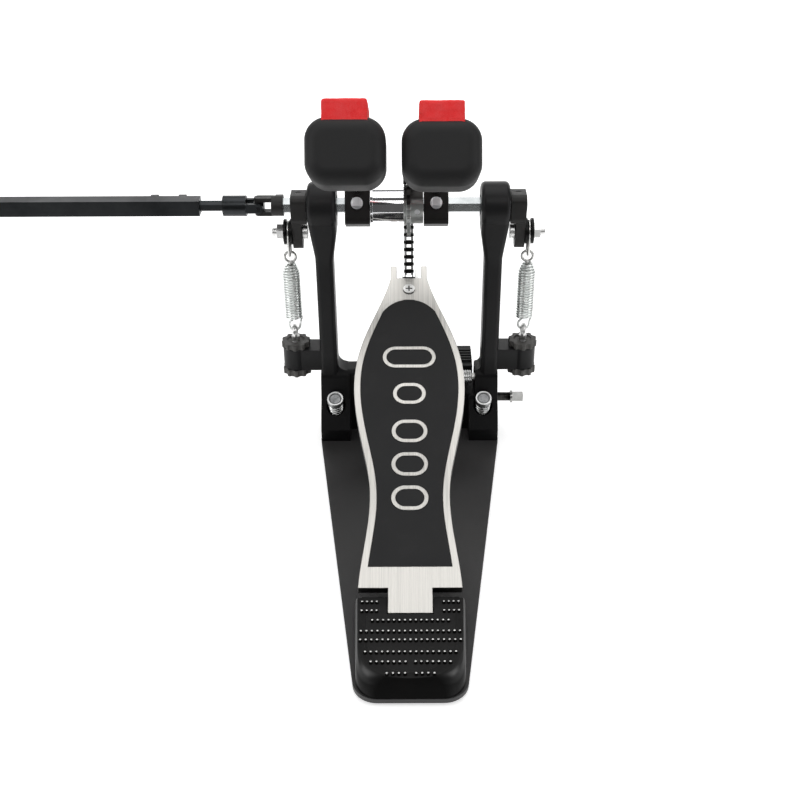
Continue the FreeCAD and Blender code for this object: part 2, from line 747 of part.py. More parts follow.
board = raised("board_plate", board_face(0, float(s.shoulder), float(s.board_toe)), 0, s.board_thick)
tab = box((-s.tab_half, s.tab_half), (-6.3, s.shoulder + 2), (0, s.board_thick))
knuckle = rod("x", 5.2, -s.tab_half, s.tab_half)
prongs = [
    box(span(side, s.board_toe_half - 4.3, s.board_toe_half), (s.board_toe - 4, s.board_toe + s.prong_length), (0, s.board_thick))
    for side in (1, -1)
]
recess = raised("panel_recess", board_face(float(s.panel_rim) - 0.15, 25.0, 240.3, 4.5),
                s.board_thick - s.panel_thick, s.board_thick + 2)
hollow = raised("board_hollow", board_face(4.5, 22.0, 236.0), -1 * s.board_thick, s.board_thick - s.panel_thick - 2.4)
spine = box((-2, 2), (10, s.board_toe - 20), (-2 * s.board_thick, s.board_thick))
webs = [box((-50, 50), (y, y + 4), (-2 * s.board_thick, s.board_thick)) for y in (70, 120, 170, 214)]
cells = cut("board_cells", hollow, spine, *webs)
hinge_bore = rod("x", s.hinge_radius + 0.08, -s.tab_half - 1, s.tab_half + 1)
screw_hole = rod("z", 2.4, -2, s.board_thick + 2, 0, s.board_toe - 11)
footboard = cut("footboard", join("board", board, tab, knuckle, *prongs), recess, cells, hinge_bore, screw_hole)
panel = raised("grip_panel", board_face(float(s.panel_rim), 25.15, 240.15, 4.5),
               s.board_thick - s.panel_thick, s.board_thick)
panel.Label = "grip_panel"
saddle = box((-7.2, 7.2), (s.board_toe - 22, s.board_toe - 0.6), (-3, 0))
ears = []
for side in (1, -1):
    sides = span(side, 4.7, 7.2)
    ears.append(box(sides, (s.board_toe - 5, s.board_toe + 14), (-4.6, -0.4)))
    ears.append(box(sides, (s.board_toe + 0.4, s.board_toe + 14), (-4.6, PIN_OUT + 4.4)))
slots = [
    rod("x", s.pin_radius + 0.9, -9, 9, PIN_ALONG + move, PIN_OUT) for move in (-0.3, 2.3)
] + [box((-9, 9), (PIN_ALONG - 0.3, PIN_ALONG + 2.3), (PIN_OUT - float(s.pin_radius) - 0.9, PIN_OUT + s.pin_radius + 0.9))]
saddle_hole = rod("z", 2.4, -6, 2, 0, s.board_toe - 11)
bracket = cut("chain_bracket", join("bracket", saddle, *ears), saddle_hole, *slots)
shank = rod("z", 2.2, -7, s.board_thick + 0.2, 0, s.board_toe - 11)
head = rod("z", 4.8, s.board_thick, s.board_thick + 2.2, 0, s.board_toe - 11)
nut = cut("nut", rod("z", 4.4, -6.2, -3, 0, s.board_toe - 11), rod("z", 2.22, -7, -2, 0, s.board_toe - 11))
chain_screw = group("chain_screw", join("screw", shank, head), nut)
for item in (footboard, panel, bracket, chain_screw):
    nodes.append(place(item, 0, -s.hinge_y, s.hinge_z, tilt=s.board_angle))

# Sprocket, drawn about its own centre
body = new_body("sprocket")
half_thick = s.sprocket_thick / 2
last = pad(body, circle(sketch(body, "YZ_Plane", -half_thick), 0, 0, PITCH_RADIUS + 1.3), s.sprocket_thick)
profile = circle(sketch(body, "YZ_Plane", -half_thick), PITCH_RADIUS, 0, s.roller_radius + 0.43)
seat = pocket(body, profile, s.sprocket_thick, reverse=True)
ring = body.newObject("PartDesign::PolarPattern", "teeth")
ring.Originals = [seat]
ring.Axis = (profile, ["N_Axis"])
ring.Occurrences = TEETH
ring.Angle = 360
doc.recompute()
body.Tip = ring
# The teeth are cut away on the drum side, where the run swings in
relief = sketch(body, "YZ_Plane", -half_thick)
turns = [math.radians(27 - 9 * k) for k in range(11)]
sector = [(24 * math.cos(a), 24 * math.sin(a)) for a in turns]
sector += [(15.4 * math.cos(a), 15.4 * math.sin(a)) for a in turns[::-1]]
last = pocket(body, polygon(relief, sector), s.sprocket_thick, reverse=True)
last = pad(body, circle(sketch(body, "YZ_Plane", -3.3), 0, 0, 14), 3.3 - half_thick)
last = pad(body, circle(sketch(body, "YZ_Plane", half_thick), 0, 0, 13), 10.2 - half_thick)
last = pocket(body, circle(sketch(body, "XZ_Plane", 0), 6, 0, 1.95), 20, reverse=True)


def hexagon(item, flats, y, z):
    far = flats * (1 / math.sqrt(3))
    corners = [(math.sin(math.pi * k / 3), math.cos(math.pi * k / 3)) for k in range(6)]
    return polygon(item, [(y + far * a, z + far * b) for a, b in corners])


last = pocket(body, hexagon(sketch(body, "YZ_Plane"), s.hex_flats + 0.06, 0, 0))
nodes.append(place(body, 0, 0, AXLE))

# Roller chain: the links held on the sprocket, and the straight run that hangs from them


def stadium(a, b, radius, x0, x1):
    """A waisted link plate between two pin centres, from x0 to x1."""
    along = (b - a).normalize()
    out = Vector(0, -along.z, along.y) * radius
    middle = (a + b) * 0.5
    outline = Part.Wire([
        Part.Arc(a + out, middle + out * 0.72, b + out).toShape(),
        Part.Arc(b + out, b + along * radius, b - out).toShape(),
        Part.Arc(b - out, middle - out * 0.72, a - out).toShape(),
        Part.Arc(a - out, a - along * radius, a + out).toShape(),
    ])
    outline.translate(Vector(x0, 0, 0))
    return Part.Face(outline).extrude(Vector(x1 - x0, 0, 0))


def link(a, b, outer, long_pin=False):
    plate = float(s.plate_thick)
    pin = float(s.pin_radius)
    x0 = 1.65 + (plate + 0.1 if outer else 0)
    shape = stadium(a, b, float(s.plate_radius), x0, x0 + plate)
    pieces = [stadium(a, b, float(s.plate_radius), -x0 - plate, -x0)]
    for spot in (a, b):
        if outer:
            half = 6.7 if long_pin and spot is b else x0 + plate + 0.5
            pieces.append(Part.makeCylinder(pin, 2 * half, spot - Vector(half, 0, 0), Vector(1, 0, 0)))
        else:
            roller = Part.makeCylinder(float(s.roller_radius), 2 * x0, spot - Vector(x0, 0, 0), Vector(1, 0, 0))
            pieces.append(roller)
    shape = shape.fuse(pieces).removeSplitter()
    if not outer:
        bores = [Part.makeCylinder(pin + 0.08, 8, spot - Vector(4, 0, 0), Vector(1, 0, 0)) for spot in (a, b)]
        shape = shape.cut(bores)
    return shape.Solids[0]


nodes.append(feature("chain_wrap", Part.makeCompound([
    link(wrapped(k), wrapped(k + 1), k % 2 == 1) for k in range(2, 6)])))
nodes.append(feature("chain_run", Part.makeCompound([
    link(wrapped(2) + down * k, wrapped(2) + down * (k + 1), k % 2 == 0, k == RUN - 1) for k in range(RUN)])))

# Shafts: hexagonal, turned round where they run in a bearing
OUT = s.post_x + half_head
nodes.append(join(
    "right_shaft",
    hexbar(s.hex_flats, -3.2, OUT - 12.5, 0, AXLE),
    rod("x", s.journal_radius, OUT - 13, OUT + 0.6, 0, AXLE),
    hexbar(s.hex_flats, OUT + 0.5, s.rocker_outer + 0.8, 0, AXLE),
))
nodes.append(join(
    "left_shaft",
    rod("x", s.journal_radius, -27.5, -4.7, 0, AXLE),
    hexbar(s.hex_flats, 12.5 - OUT, -27.2, 0, AXLE),
    rod("x", s.journal_radius, -0.6 - OUT, 13 - OUT, 0, AXLE),
    hexbar(s.hex_flats, 9.1 - s.joint_x, -0.5 - OUT, 0, AXLE),
))
sleeve = join("sleeve", rod("x", s.sleeve_radius, -26.9, -3.4, 0, AXLE),
              rod("x", s.sleeve_radius + 1, -26.9, -25.3, 0, AXLE))
nodes.append(cut("centre_sleeve", sleeve, rod("x", s.journal_radius + 0.05, -28, -4.4, 0, AXLE)))


def key_screw(shank, depth):
    """A square-headed key screw that stands on Z = 0."""
    return join(
        "key_screw",
        rod("z", shank, -depth, 0.5),
        rod("z", 4.2, 0, 1.8),
        box((-2.8, 2.8), (-2.8, 2.8), (1.5, 7)),
    )


def beater_frame(item):
    return place(item, 0, 0, AXLE, tilt=s.beater_lean)


for side, hand in ((1, "right"), (-1, "left")):
    # Beater hub, drawn upright about the axle and then leaned back
    hub_x = s.right_hub_x if side > 0 else -s.left_hub_x
    extra = s.left_extra * (0 if side > 0 else 1)
    body = new_body("hub")
    block = [(-14.3, -11), (18, -11), (18, 11), (-14.3, 11)]
    last = pad(body, polygon(sketch(body, "YZ_Plane", hub_x - s.hub_width / 2), block), s.hub_width)

    def hub_corner(middle, ends):
        return len(ends) == 2 and abs(ends[0].x - ends[1].x) > 5

    last = round_edges(body, last, 4, hub_corner)
    last = pocket(body, circle(sketch(body, "XY_Plane"), hub_x, s.rod_offset, s.rod_radius + 0.06))
    last = pocket(body, circle(sketch(body, "XZ_Plane", -18), hub_x, 0, 2.95), 18 - s.rod_offset, reverse=True)
    last = pocket(body, circle(sketch(body, "XY_Plane", 11), hub_x, 0, 2.95), 6)
    beater_frame(body)
    bore = hexbar(s.hex_flats + 0.06, hub_x - 20, hub_x + 20, 0, AXLE)
    nodes.append(cut(f"{hand}_hub", body, bore))

    # Beater: rod, head and felt
    rod_y = s.rod_offset * 1
    head_top = s.beater_reach + extra
    stick = rod("z", s.rod_radius, -26 + extra, head_top - 5, hub_x, rod_y)
    nodes.append(beater_frame(group(f"{hand}_beater_rod", stick)))
    back = rod_y - s.head_deep / 2 + 1.05
    front = back + s.head_deep
    body = new_body("head")
    block = [(hub_x - s.head_wide / 2, back), (hub_x + s.head_wide / 2, back),
             (hub_x + s.head_wide / 2, front), (hub_x - s.head_wide / 2, front)]
    last = pad(body, polygon(sketch(body, "XY_Plane", head_top - s.head_tall), block), s.head_tall)
    last = round_edges(body, last, 13, upright(block))

    def head_edge(middle, ends):
        return abs(abs(middle.z - float(head_top - s.head_tall / 2)) - float(s.head_tall) / 2) < 0.01

    last = round_edges(body, last, 9.5, head_edge)
    hole = circle(sketch(body, "XY_Plane", head_top - s.head_tall), hub_x, rod_y, s.rod_radius + 0.02)
    last = pocket(body, hole, s.head_tall - 4.9, reverse=True)
    wide = (hub_x - s.felt_wide / 2, hub_x + s.felt_wide / 2)
    tall = (head_top - s.head_tall + 3, head_top - 3)
    slot = box((wide[0] - 0.02, wide[1] + 0.02), (front - 10, front + 5), (tall[0] - 0.02, tall[1] + 0.02))
    nodes.append(beater_frame(cut(f"{hand}_beater_head", body, slot)))
    body = new_body(f"{hand}_beater_felt")
    tip = front + s.felt_proud
    block = [(wide[0], front - 9.98), (wide[1], front - 9.98), (wide[1], tip), (wide[0], tip)]
    last = pad(body, polygon(sketch(body, "XY_Plane", tall[0]), block), tall[1] - tall[0])

    def felt_edge(middle, ends):
        return abs(middle.y - float(tip)) < 0.01

    last = round_edges(body, last, 1.5, felt_edge)
    nodes.append(beater_frame(body))

    # Rocker: a hub block with a thinner slotted arm below it
    body = new_body(f"{hand}_rocker")
    ends = span(side, s.rocker_inner, s.rocker_outer)
    block = [(-10, AXLE - 12), (10, AXLE - 12), (10, AXLE + 9.5), (-10, AXLE + 9.5)]
    last = pad(body, polygon(sketch(body, "YZ_Plane", ends[0]), block), ends[1] - ends[0])
    last = round_edges(body, last, 5, hub_corner)
    arm = span(side, s.rocker_inner + 3.8, s.rocker_outer)
    low = AXLE - s.rocker_arm - 6.4
    taper = [(-6, low), (6, low), (8, AXLE - 10), (-8, AXLE - 10)]
    last = pad(body, polygon(sketch(body, "YZ_Plane", arm[0]), taper), arm[1] - arm[0])
    last = pad(body, circle(sketch(body, "YZ_Plane", arm[0]), 0, low, 6), arm[1] - arm[0])
    groove = [(-3.04, low), (3.04, low), (3.04, AXLE - s.rocker_arm + 5), (-3.04, AXLE - s.rocker_arm + 5)]
    last = pocket(body, polygon(sketch(body, "YZ_Plane"), groove))
    last = pocket(body, hexagon(sketch(body, "YZ_Plane"), s.hex_flats + 0.06, 0, AXLE))
    mid_x = side * (s.rocker_inner + s.rocker_outer) / 2
    last = pocket(body, circle(sketch(body, "XY_Plane", AXLE + 20), mid_x, 0, 1.95), 20)
    nodes.append(body)

    # Rocker bolt with its washers and nut
    bolt_z = AXLE - s.rocker_arm
    inner_arm = s.rocker_inner + 3.8
    outer_arm = s.rocker_outer
    bolt = join("bolt", rod("x", 5.2, *span(side, inner_arm - 3.6, inner_arm - 0.1), 0, bolt_z),
                rod("x", s.bolt_radius, *span(side, inner_arm - 0.5, s.spring_x + 11.5), 0, bolt_z))
    rings = [
        rod("x", 9.2, *span(side, outer_arm + 0.1, s.spring_x - 1.3), 0, bolt_z),
        rod("x", 9.2, *span(side, s.spring_x + 1.35, s.spring_x + 3.1), 0, bolt_z),
        hexbar(10, *span(side, s.spring_x + 3.2, s.spring_x + 8), 0, bolt_z),
    ]
    through = span(side, s.rocker_inner, s.spring_x + 20)
    rings = [cut("ring", ring, rod("x", s.bolt_radius + 0.03, *through, 0, bolt_z)) for ring in rings]
    nodes.append(group(f"{hand}_rocker_bolt", bolt, *rings))

    # Link: a wire loop round a small bearing on the bolt
    axis_x = side * s.spring_x
    ring = rod("x", 6, *span(side, s.spring_x - 1.15, s.spring_x + 1.15), 0, bolt_z)
    ring = cut("link_bearing", ring, rod("x", s.bolt_radius + 0.06, *through, 0, bolt_z))
    big = 6.05 + float(s.link_wire)
    small = 3.0 + float(s.link_wire)
    drop = float(s.link_length) - 3.0
    lean = math.asin((big - small) / drop)
    stops = []
    turns = [-lean, math.pi / 4, math.pi / 2, 3 * math.pi / 4, math.pi + lean]
    for angle in turns:
        stops.append((Vector(0, big * math.cos(angle), big * math.sin(angle)), Vector(0, -math.sin(angle), math.cos(angle))))
    for angle in (math.pi + lean, 1.5 * math.pi, 2 * math.pi - lean):
        stops.append((Vector(0, small * math.cos(angle), small * math.sin(angle) - drop),
                      Vector(0, -math.sin(angle), math.cos(angle))))
    stops.append(stops[0])
    loop = feature("link_wire", tube(stops, float(s.link_wire), closed=True),
                   Placement(Vector(float(axis_x), 0, float(bolt_z)), Rotation()))
    nodes.append(group(f"{hand}_link", ring, loop))

    # Swivel eye that hangs in the link and holds the top of the coil
    eye_z = bolt_z - s.link_length + s.eye_wire + 0.35 - s.eye_radius
    eye = doc.addObject("Part::Torus", "eye")
    eye.Placement = Placement(Vector(), ALONG["y"])
    bind(eye, Radius1=s.eye_radius, Radius2=s.eye_wire)
    place(eye, axis_x, 0, eye_z)
    foot_z = s.coil_bottom + s.coil_pitch * s.coil_turns
    stem = rod("z", 1.4, foot_z - 4, eye_z - s.eye_radius + 0.3, axis_x, 0)
    button = rod("z", 3.2, foot_z - 4, foot_z - 2.4, axis_x, 0)
    nodes.append(join(f"{hand}_eye", eye, stem, button))

    # Coil: hook, body and tapered top as one wire
    wire = float(s.coil_wire)
    hook = 4.2
    hook_z = float(s.eyebolt_eye_z + s.eyebolt_ring - s.eyebolt_wire) - 0.3 - wire + hook
    stops = []
    for degrees in (110, 180, 270, 360):
        angle = math.radians(degrees)
        stops.append((Vector(hook * math.cos(angle), 0, hook_z + hook * math.sin(angle)),
                      Vector(-math.sin(angle), 0, math.cos(angle))))
    turns = float(s.coil_turns)
    rise = turns * float(s.coil_pitch)
    bottom = Vector(0, 0, float(s.coil_bottom))
    coil = winding(float(s.coil_radius), rise, turns)
    stops.extend((p + bottom, t) for p, t in coil)
    top_turns = winding(float(s.coil_radius), 5.0, 2.5, start=turns * 2 * math.pi, grow=2.75 - float(s.coil_radius))
    stops.extend((p + bottom + Vector(0, 0, rise), t) for p, t in top_turns[1:])
    print(f"{hand} spring gap", round(own_gap(stops, wire), 2))
    nodes.append(feature(f"{hand}_spring", tube(stops, wire), Placement(Vector(float(axis_x), 0, 0), Rotation())))

    # Eyebolt and the two scalloped knobs that hold it
    eye = doc.addObject("Part::Torus", "eye")
    eye.Placement = Placement(Vector(), ALONG["x"])
    bind(eye, Radius1=s.eyebolt_ring, Radius2=s.eyebolt_wire)
    place(eye, axis_x, 0, s.eyebolt_eye_z)
    nodes.append(join(f"{hand}_eyebolt", eye, rod("z", s.eyebolt_radius, 54, s.eyebolt_eye_z - 3.6, axis_x, 0)))
    knobs = []
    for low, high, recessed in ((s.lug_bottom + s.lug_height + 0.3, 4.5, True), (s.lug_bottom - 5.5, 5.2, False)):
        body = new_body("knob")
        last = pad(body, circle(sketch(body, "XY_Plane"), 0, 0, s.knob_radius), high)
        profile = circle(sketch(body, "XY_Plane"), s.knob_radius + 1.6, 0, 3.0)
        notch = pocket(body, profile)
        ring = body.newObject("PartDesign::PolarPattern", "notches")
        ring.Originals = [notch]
        ring.Axis = (profile, ["N_Axis"])
        ring.Occurrences = 10
        ring.Angle = 360
        doc.recompute()
        body.Tip = ring
        if recessed:
            last = pocket(body, circle(sketch(body, "XY_Plane", high), 0, 0, 6.8), 0.8)
        last = pocket(body, circle(sketch(body, "XY_Plane"), 0, 0, s.eyebolt_radius + 0.06))
        knobs.append(place(body, axis_x, 0, low))
    nodes.append(group(f"{hand}_knobs", *knobs))

    # Key screws: the hub's rod screw and axle screw, the rocker's set screw, and one more
    rod_screw = key_screw(2.9, 18.0 - s.rod_offset - s.rod_radius - 0.3)
    rod_screw.Placement = Placement(Vector(), Rotation(Vector(1, 0, 0), -90))
    place(rod_screw, hub_x, 18, 0)
    axle_screw = place(key_screw(2.9, 4.9), hub_x, 0, 11)
    hub_screws = beater_frame(group("hub_screws", rod_screw, axle_screw))
    grub = rod("z", 1.9, AXLE + 5.9, AXLE + 9.3, mid_x, 0)
    if side > 0:
        third = rod("y", 1.9, -12.6, -5.9, 6, AXLE)
    else:
        third = key_screw(2.1, 1.3)
        third.Placement = Placement(Vector(), ALONG["y"])
        place(third, 13.2 - s.joint_x, s.yoke_radius, AXLE)
    nodes.append(group(f"{hand}_key_screws", hub_screws, grub, third))

# Linkage to the second pedal: two universal joints and a telescopic shaft


def yoke(pivot, hub_to, ears):
    """A forked end: hub from 9 mm off the pivot to hub_to, with its ears across Z or Y."""
    way = 1 if float(hub_to) > float(pivot) else -1
    root = pivot + 9 * way
    hub = rod("x", s.yoke_radius, *((root, hub_to) if way > 0 else (hub_to, root)), 0, AXLE)
    pieces = [hub]
    for sign in (1, -1):
        deep = (3.7, 6.6) if sign > 0 else (-6.6, -3.7)
        along = (pivot, root + 1) if way > 0 else (root - 1, pivot)
        if ears == "z":
            pieces.append(box(along, (-3.3, 3.3), (AXLE + deep[0], AXLE + deep[1])))
            pieces.append(rod("z", 3.3, AXLE + deep[0], AXLE + deep[1], pivot, 0))
        else:
            pieces.append(box(along, deep, (AXLE - 3.3, AXLE + 3.3)))
            pieces.append(rod("y", 3.3, *deep, pivot, AXLE))
    bore = s.trunnion_radius + 0.06
    hole = rod("z", bore, AXLE - 9, AXLE + 9, pivot, 0) if ears == "z" else rod("y", bore, -9, 9, pivot, AXLE)
    return pieces, hole


def cross(label, pivot):
    half = s.cross_half
    return join(
        label,
        box((pivot - half, pivot + half), (-half, half), (AXLE - half, AXLE + half)),
        rod("z", s.trunnion_radius, AXLE - 6.5, AXLE + 6.5, pivot, 0),
        rod("y", s.trunnion_radius, -6.5, 6.5, pivot, AXLE),
    )


NEAR = -s.joint_x
FAR = -s.far_joint_x
pieces, hole = yoke(NEAR, 17.2 - s.joint_x, "z")
key_hole = rod("y", 2.15, 5.2, 8, 13.2 - s.joint_x, AXLE)
nodes.append(cut("near_yoke", join("yoke", *pieces), hole, hexbar(s.hex_flats + 0.06, NEAR + 8.5, NEAR + 18, 0, AXLE), key_hole))
nodes.append(cross("near_cross", NEAR))
pieces, hole = yoke(NEAR, -25.5 - s.joint_x, "y")
stem = hexbar(s.inner_flats, -s.tube_start - 152, -20 - s.joint_x, 0, AXLE)
nodes.append(cut("inner_shaft", join("shaft", *pieces, stem), hole))
pieces, hole = yoke(FAR, FAR + 15, "z")
half = s.tube_side / 2
tube_bar = box((FAR + 14, -s.tube_start), (-half, half), (AXLE - half, AXLE + half))
sleeve = hexbar(s.inner_flats + 0.16, -s.tube_start - 215, 1 - s.tube_start, 0, AXLE)
drills = [rod("y", 2.15, s.inner_flats / 2, half + 1, -s.tube_start - off, AXLE + 1) for off in (14, 34)]
nodes.append(cut("outer_tube", join("tube", *pieces, tube_bar), hole, sleeve, *drills))
screws = []
for off in (14, 34):
    screw = key_screw(2.1, half - s.inner_flats / 2 - 0.45)
    screw.Placement = Placement(Vector(), ALONG["y"])
    screws.append(place(screw, -s.tube_start - off, half, AXLE + 1))
nodes.append(group("tube_screws", *screws))
nodes.append(cross("far_cross", FAR))
pieces, hole = yoke(FAR, FAR - 35, "y")
socket = rod("x", 5.0, FAR - 36, FAR - 17, 0, AXLE)
drill = rod("y", 2.15, 4, 8, FAR - 27, AXLE)
nodes.append(cut("end_yoke", join("yoke", *pieces), hole, socket, drill))
screw = key_screw(2.1, 2.0)
screw.Placement = Placement(Vector(), ALONG["y"])
nodes.append(named("end_screw", place(screw, FAR - 27, s.yoke_radius, AXLE)))

doc.recompute()
for item in doc.Objects:
    if "Invalid" in item.State or "Error" in item.State:
        raise RuntimeError(f"{item.Label} failed: {item.State}")
os.makedirs("parts", exist_ok=True)
for node in nodes:
    if node.Shape.isNull() or not node.Shape.isValid() or not node.Shape.Solids:
        raise RuntimeError(f"{node.Label} is not a valid solid")
    node.Shape.exportStep(f"parts/{node.Label}.step")
    print(node.Label, len(node.Shape.Solids))
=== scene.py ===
import math
import bpy
from mathutils import Matrix, Vector


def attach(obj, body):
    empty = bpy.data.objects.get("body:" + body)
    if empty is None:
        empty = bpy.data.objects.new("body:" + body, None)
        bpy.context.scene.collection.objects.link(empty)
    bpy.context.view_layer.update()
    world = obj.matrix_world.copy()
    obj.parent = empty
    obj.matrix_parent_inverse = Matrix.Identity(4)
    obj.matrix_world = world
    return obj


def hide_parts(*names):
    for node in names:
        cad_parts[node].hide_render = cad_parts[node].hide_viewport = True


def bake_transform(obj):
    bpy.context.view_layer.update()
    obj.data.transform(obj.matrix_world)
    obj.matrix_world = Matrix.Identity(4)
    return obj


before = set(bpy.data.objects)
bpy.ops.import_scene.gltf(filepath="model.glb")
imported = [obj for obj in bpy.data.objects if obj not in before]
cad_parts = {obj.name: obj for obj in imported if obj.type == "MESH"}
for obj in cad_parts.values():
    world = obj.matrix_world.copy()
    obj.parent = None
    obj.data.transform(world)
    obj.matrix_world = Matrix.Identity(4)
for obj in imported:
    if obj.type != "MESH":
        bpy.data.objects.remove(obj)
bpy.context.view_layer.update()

# Studio: a lit white table and back wall, a soft panel overhead, a front fill and two side fills.
# The camera stands on the player's side and looks down. The air is pale to the camera, and dim as a light.
eye = bpy.data.cameras.new("player_view")
eye.sensor_width = 36.0
eye.lens = 49.5
eye.shift_x = -0.0118
eye_place, eye_tilt, eye_roll = (0, -0.7345, 0.4905), math.radians(57.7), math.radians(-0.25)
viewer = bpy.data.objects.new("player_view", eye)
viewer.matrix_world = (Matrix.Translation(eye_place) @ Matrix.Rotation(eye_tilt, 4, "X")
                       @ Matrix.Rotation(eye_roll, 4, "Z"))
bpy.context.collection.objects.link(viewer)
bpy.context.scene.camera = viewer


def lit_white(name, tone):
    """A matt white that glows; returns the material and its shader."""
    made = bpy.data.materials.new(name)
    made.use_nodes = True
    shader = made.node_tree.nodes["Principled BSDF"]
    shader.inputs["Base Color"].default_value = (tone, tone, tone, 1)
    shader.inputs["Roughness"].default_value = 1.0
    shader.inputs["Specular IOR Level"].default_value = 0.0
    shader.inputs["Emission Color"].default_value = (1, 1, 1, 1)
    return made, shader


bpy.ops.object.select_all(action="DESELECT")
bpy.ops.mesh.primitive_plane_add(size=1)
floor = bpy.context.object
floor.data.transform(Matrix.Translation((0, 0.6625, -0.0006)) @ Matrix.Diagonal((2.8, 2.075, 1, 1)))
floor.name = "studio_floor"
paper, shader = lit_white("white_paper", 0.85)
here = paper.node_tree.nodes.new("ShaderNodeTexCoord")
reach = paper.node_tree.nodes.new("ShaderNodeVectorMath")
reach.operation = "LENGTH"
glow = paper.node_tree.nodes.new("ShaderNodeMapRange")
for label, value in (("From Min", 0.35), ("From Max", 1.1), ("To Min", 0.56), ("To Max", 0.95)):
    glow.inputs[label].default_value = value
paper.node_tree.links.new(here.outputs["Object"], reach.inputs[0])
paper.node_tree.links.new(reach.outputs["Value"], glow.inputs["Value"])
paper.node_tree.links.new(glow.outputs[0], shader.inputs["Emission Strength"])
floor.data.materials.append(paper)

bpy.ops.object.select_all(action="DESELECT")
bpy.ops.mesh.primitive_plane_add(size=1)
wall = bpy.context.object
wall.name = "studio_wall"
wall.data.transform(Matrix.Translation((0, 1.7, 0.72)) @ Matrix.Rotation(math.pi / 2, 4, "X")
                    @ Matrix.Diagonal((3.2, 1.45, 1, 1)))
screen, shader = lit_white("white_screen", 0.8)
shader.inputs["Emission Strength"].default_value = 0.8
wall.data.materials.append(screen)

sky = bpy.data.worlds.new("studio_air")
sky.use_nodes = True
sky.node_tree.nodes["Background"].inputs["Color"].default_value = (1, 1, 1, 1)
seen = sky.node_tree.nodes.new("ShaderNodeLightPath")
level = sky.node_tree.nodes.new("ShaderNodeMapRange")
level.inputs["To Min"].default_value = 0.1
level.inputs["To Max"].default_value = 0.9
sky.node_tree.links.new(seen.outputs["Is Camera Ray"], level.inputs["Value"])
sky.node_tree.links.new(level.outputs[0], sky.node_tree.nodes["Background"].inputs["Strength"])
bpy.context.scene.world = sky
bpy.context.scene.view_settings.view_transform = "Standard"
bpy.context.scene.view_settings.look = "None"


def softbox(name, place, aim, wide, deep, watts):
    """A rectangular studio light at a place, turned to face a point."""
    lamp = bpy.data.lights.new(name, "AREA")
    lamp.shape = "RECTANGLE"
    lamp.size = wide
    lamp.size_y = deep
    lamp.energy = watts
    stand = bpy.data.objects.new(name, lamp)
    facing = (Vector(aim) - Vector(place)).to_track_quat("-Z", "Y")
    stand.matrix_world = Matrix.Translation(place) @ facing.to_matrix().to_4x4()
    bpy.context.collection.objects.link(stand)


softbox("overhead", (0, 0.28, 1.5), (0, 0.28, 0), wide=1.6, deep=1.35, watts=12)
softbox("front_fill", (0, -1.25, 1.35), (0, -0.08, 0.15), wide=1.0, deep=0.5, watts=5)
softbox("left_fill", (-1.5, -0.5, 0.9), (0, -0.05, 0.1), wide=0.9, deep=1.3, watts=9)
softbox("right_fill", (1.5, -0.6, 0.9), (0, -0.05, 0.1), wide=0.7, deep=1.2, watts=7.5)

# Base plate: a long steel plate with a satin black powder coat, which narrows to the heel.
# A thin rubber mat is glued under it, and short screws hold the frame from below.


def add(tree, kind, at=None, **settings):
    """A shader node with its settings; each socket in at is joined to a socket or given a value."""
    node = tree.nodes.new("ShaderNode" + kind)
    for name, value in settings.items():
        setattr(node, name, value)
    for key, value in (at or {}).items():
        socket = node.inputs[key]
        if isinstance(value, bpy.types.NodeSocket):
            tree.links.new(value, socket)
        else:
            socket.default_value = value
    return node


def effect(name, inputs, outputs):
    """An empty node group with its sockets; returns its tree, input sockets and output node."""
    tree = bpy.data.node_groups.new(name, "ShaderNodeTree")
    for label, kind, value in inputs:
        socket = tree.interface.new_socket(label, in_out="INPUT", socket_type="NodeSocket" + kind)
        if value is not None:
            socket.default_value = value
    for label, kind in outputs:
        tree.interface.new_socket(label, in_out="OUTPUT", socket_type="NodeSocket" + kind)
    given = tree.nodes.new("NodeGroupInput")
    return tree, given.outputs, tree.nodes.new("NodeGroupOutput")


def give(tree, result, **sockets):
    """Joins sockets to the outputs of a node group."""
    for label, socket in sockets.items():
        tree.links.new(socket, result.inputs[label])


def mix(tree, share, first, second):
    """The colour between two others, by a share from 0 to 1."""
    return add(tree, "Mix", {0: share, 6: first, 7: second}, data_type="RGBA").outputs[2]


# Coat skin: cloudy tone and gloss, with a fine pebbled height
coat_skin, wants, result = effect(
    "coat_skin",
    [("Place", "Vector", None), ("Colour", "Color", (0.01, 0.01, 0.01, 1)),
     ("Bloom", "Color", (0.03, 0.03, 0.03, 1)), ("Cloud", "Float", 30.0), ("Grain", "Float", 1500.0),
     ("Smooth", "Float", 0.35), ("Dull", "Float", 0.5)],
    [("Colour", "Color"), ("Roughness", "Float"), ("Height", "Float")])
cloud = add(coat_skin, "TexNoise", {"Vector": wants["Place"], "Scale": wants["Cloud"],
                                    "Detail": 4.0, "Roughness": 0.6})
pebble = add(coat_skin, "TexNoise", {"Vector": wants["Place"], "Scale": wants["Grain"], "Detail": 2.0})
speck = add(coat_skin, "MapRange", {"Value": pebble.outputs["Fac"], "From Min": 0.62, "From Max": 0.8})
veil = add(coat_skin, "MapRange", {"Value": cloud.outputs["Fac"], "From Min": 0.42, "From Max": 0.72})
share = add(coat_skin, "Math", {0: veil.outputs[0], 1: 0.5}, operation="MULTIPLY")
share = add(coat_skin, "Math", {0: speck.outputs[0], 1: 0.35, 2: share.outputs[0]}, operation="MULTIPLY_ADD")
tone = mix(coat_skin, share.outputs[0], wants["Colour"], wants["Bloom"])
gloss = add(coat_skin, "MapRange", {"Value": cloud.outputs["Fac"], "From Min": 0.3, "From Max": 0.7,
                                    "To Min": wants["Smooth"], "To Max": wants["Dull"]})
give(coat_skin, result, Colour=tone, Roughness=gloss.outputs[0], Height=pebble.outputs["Fac"])

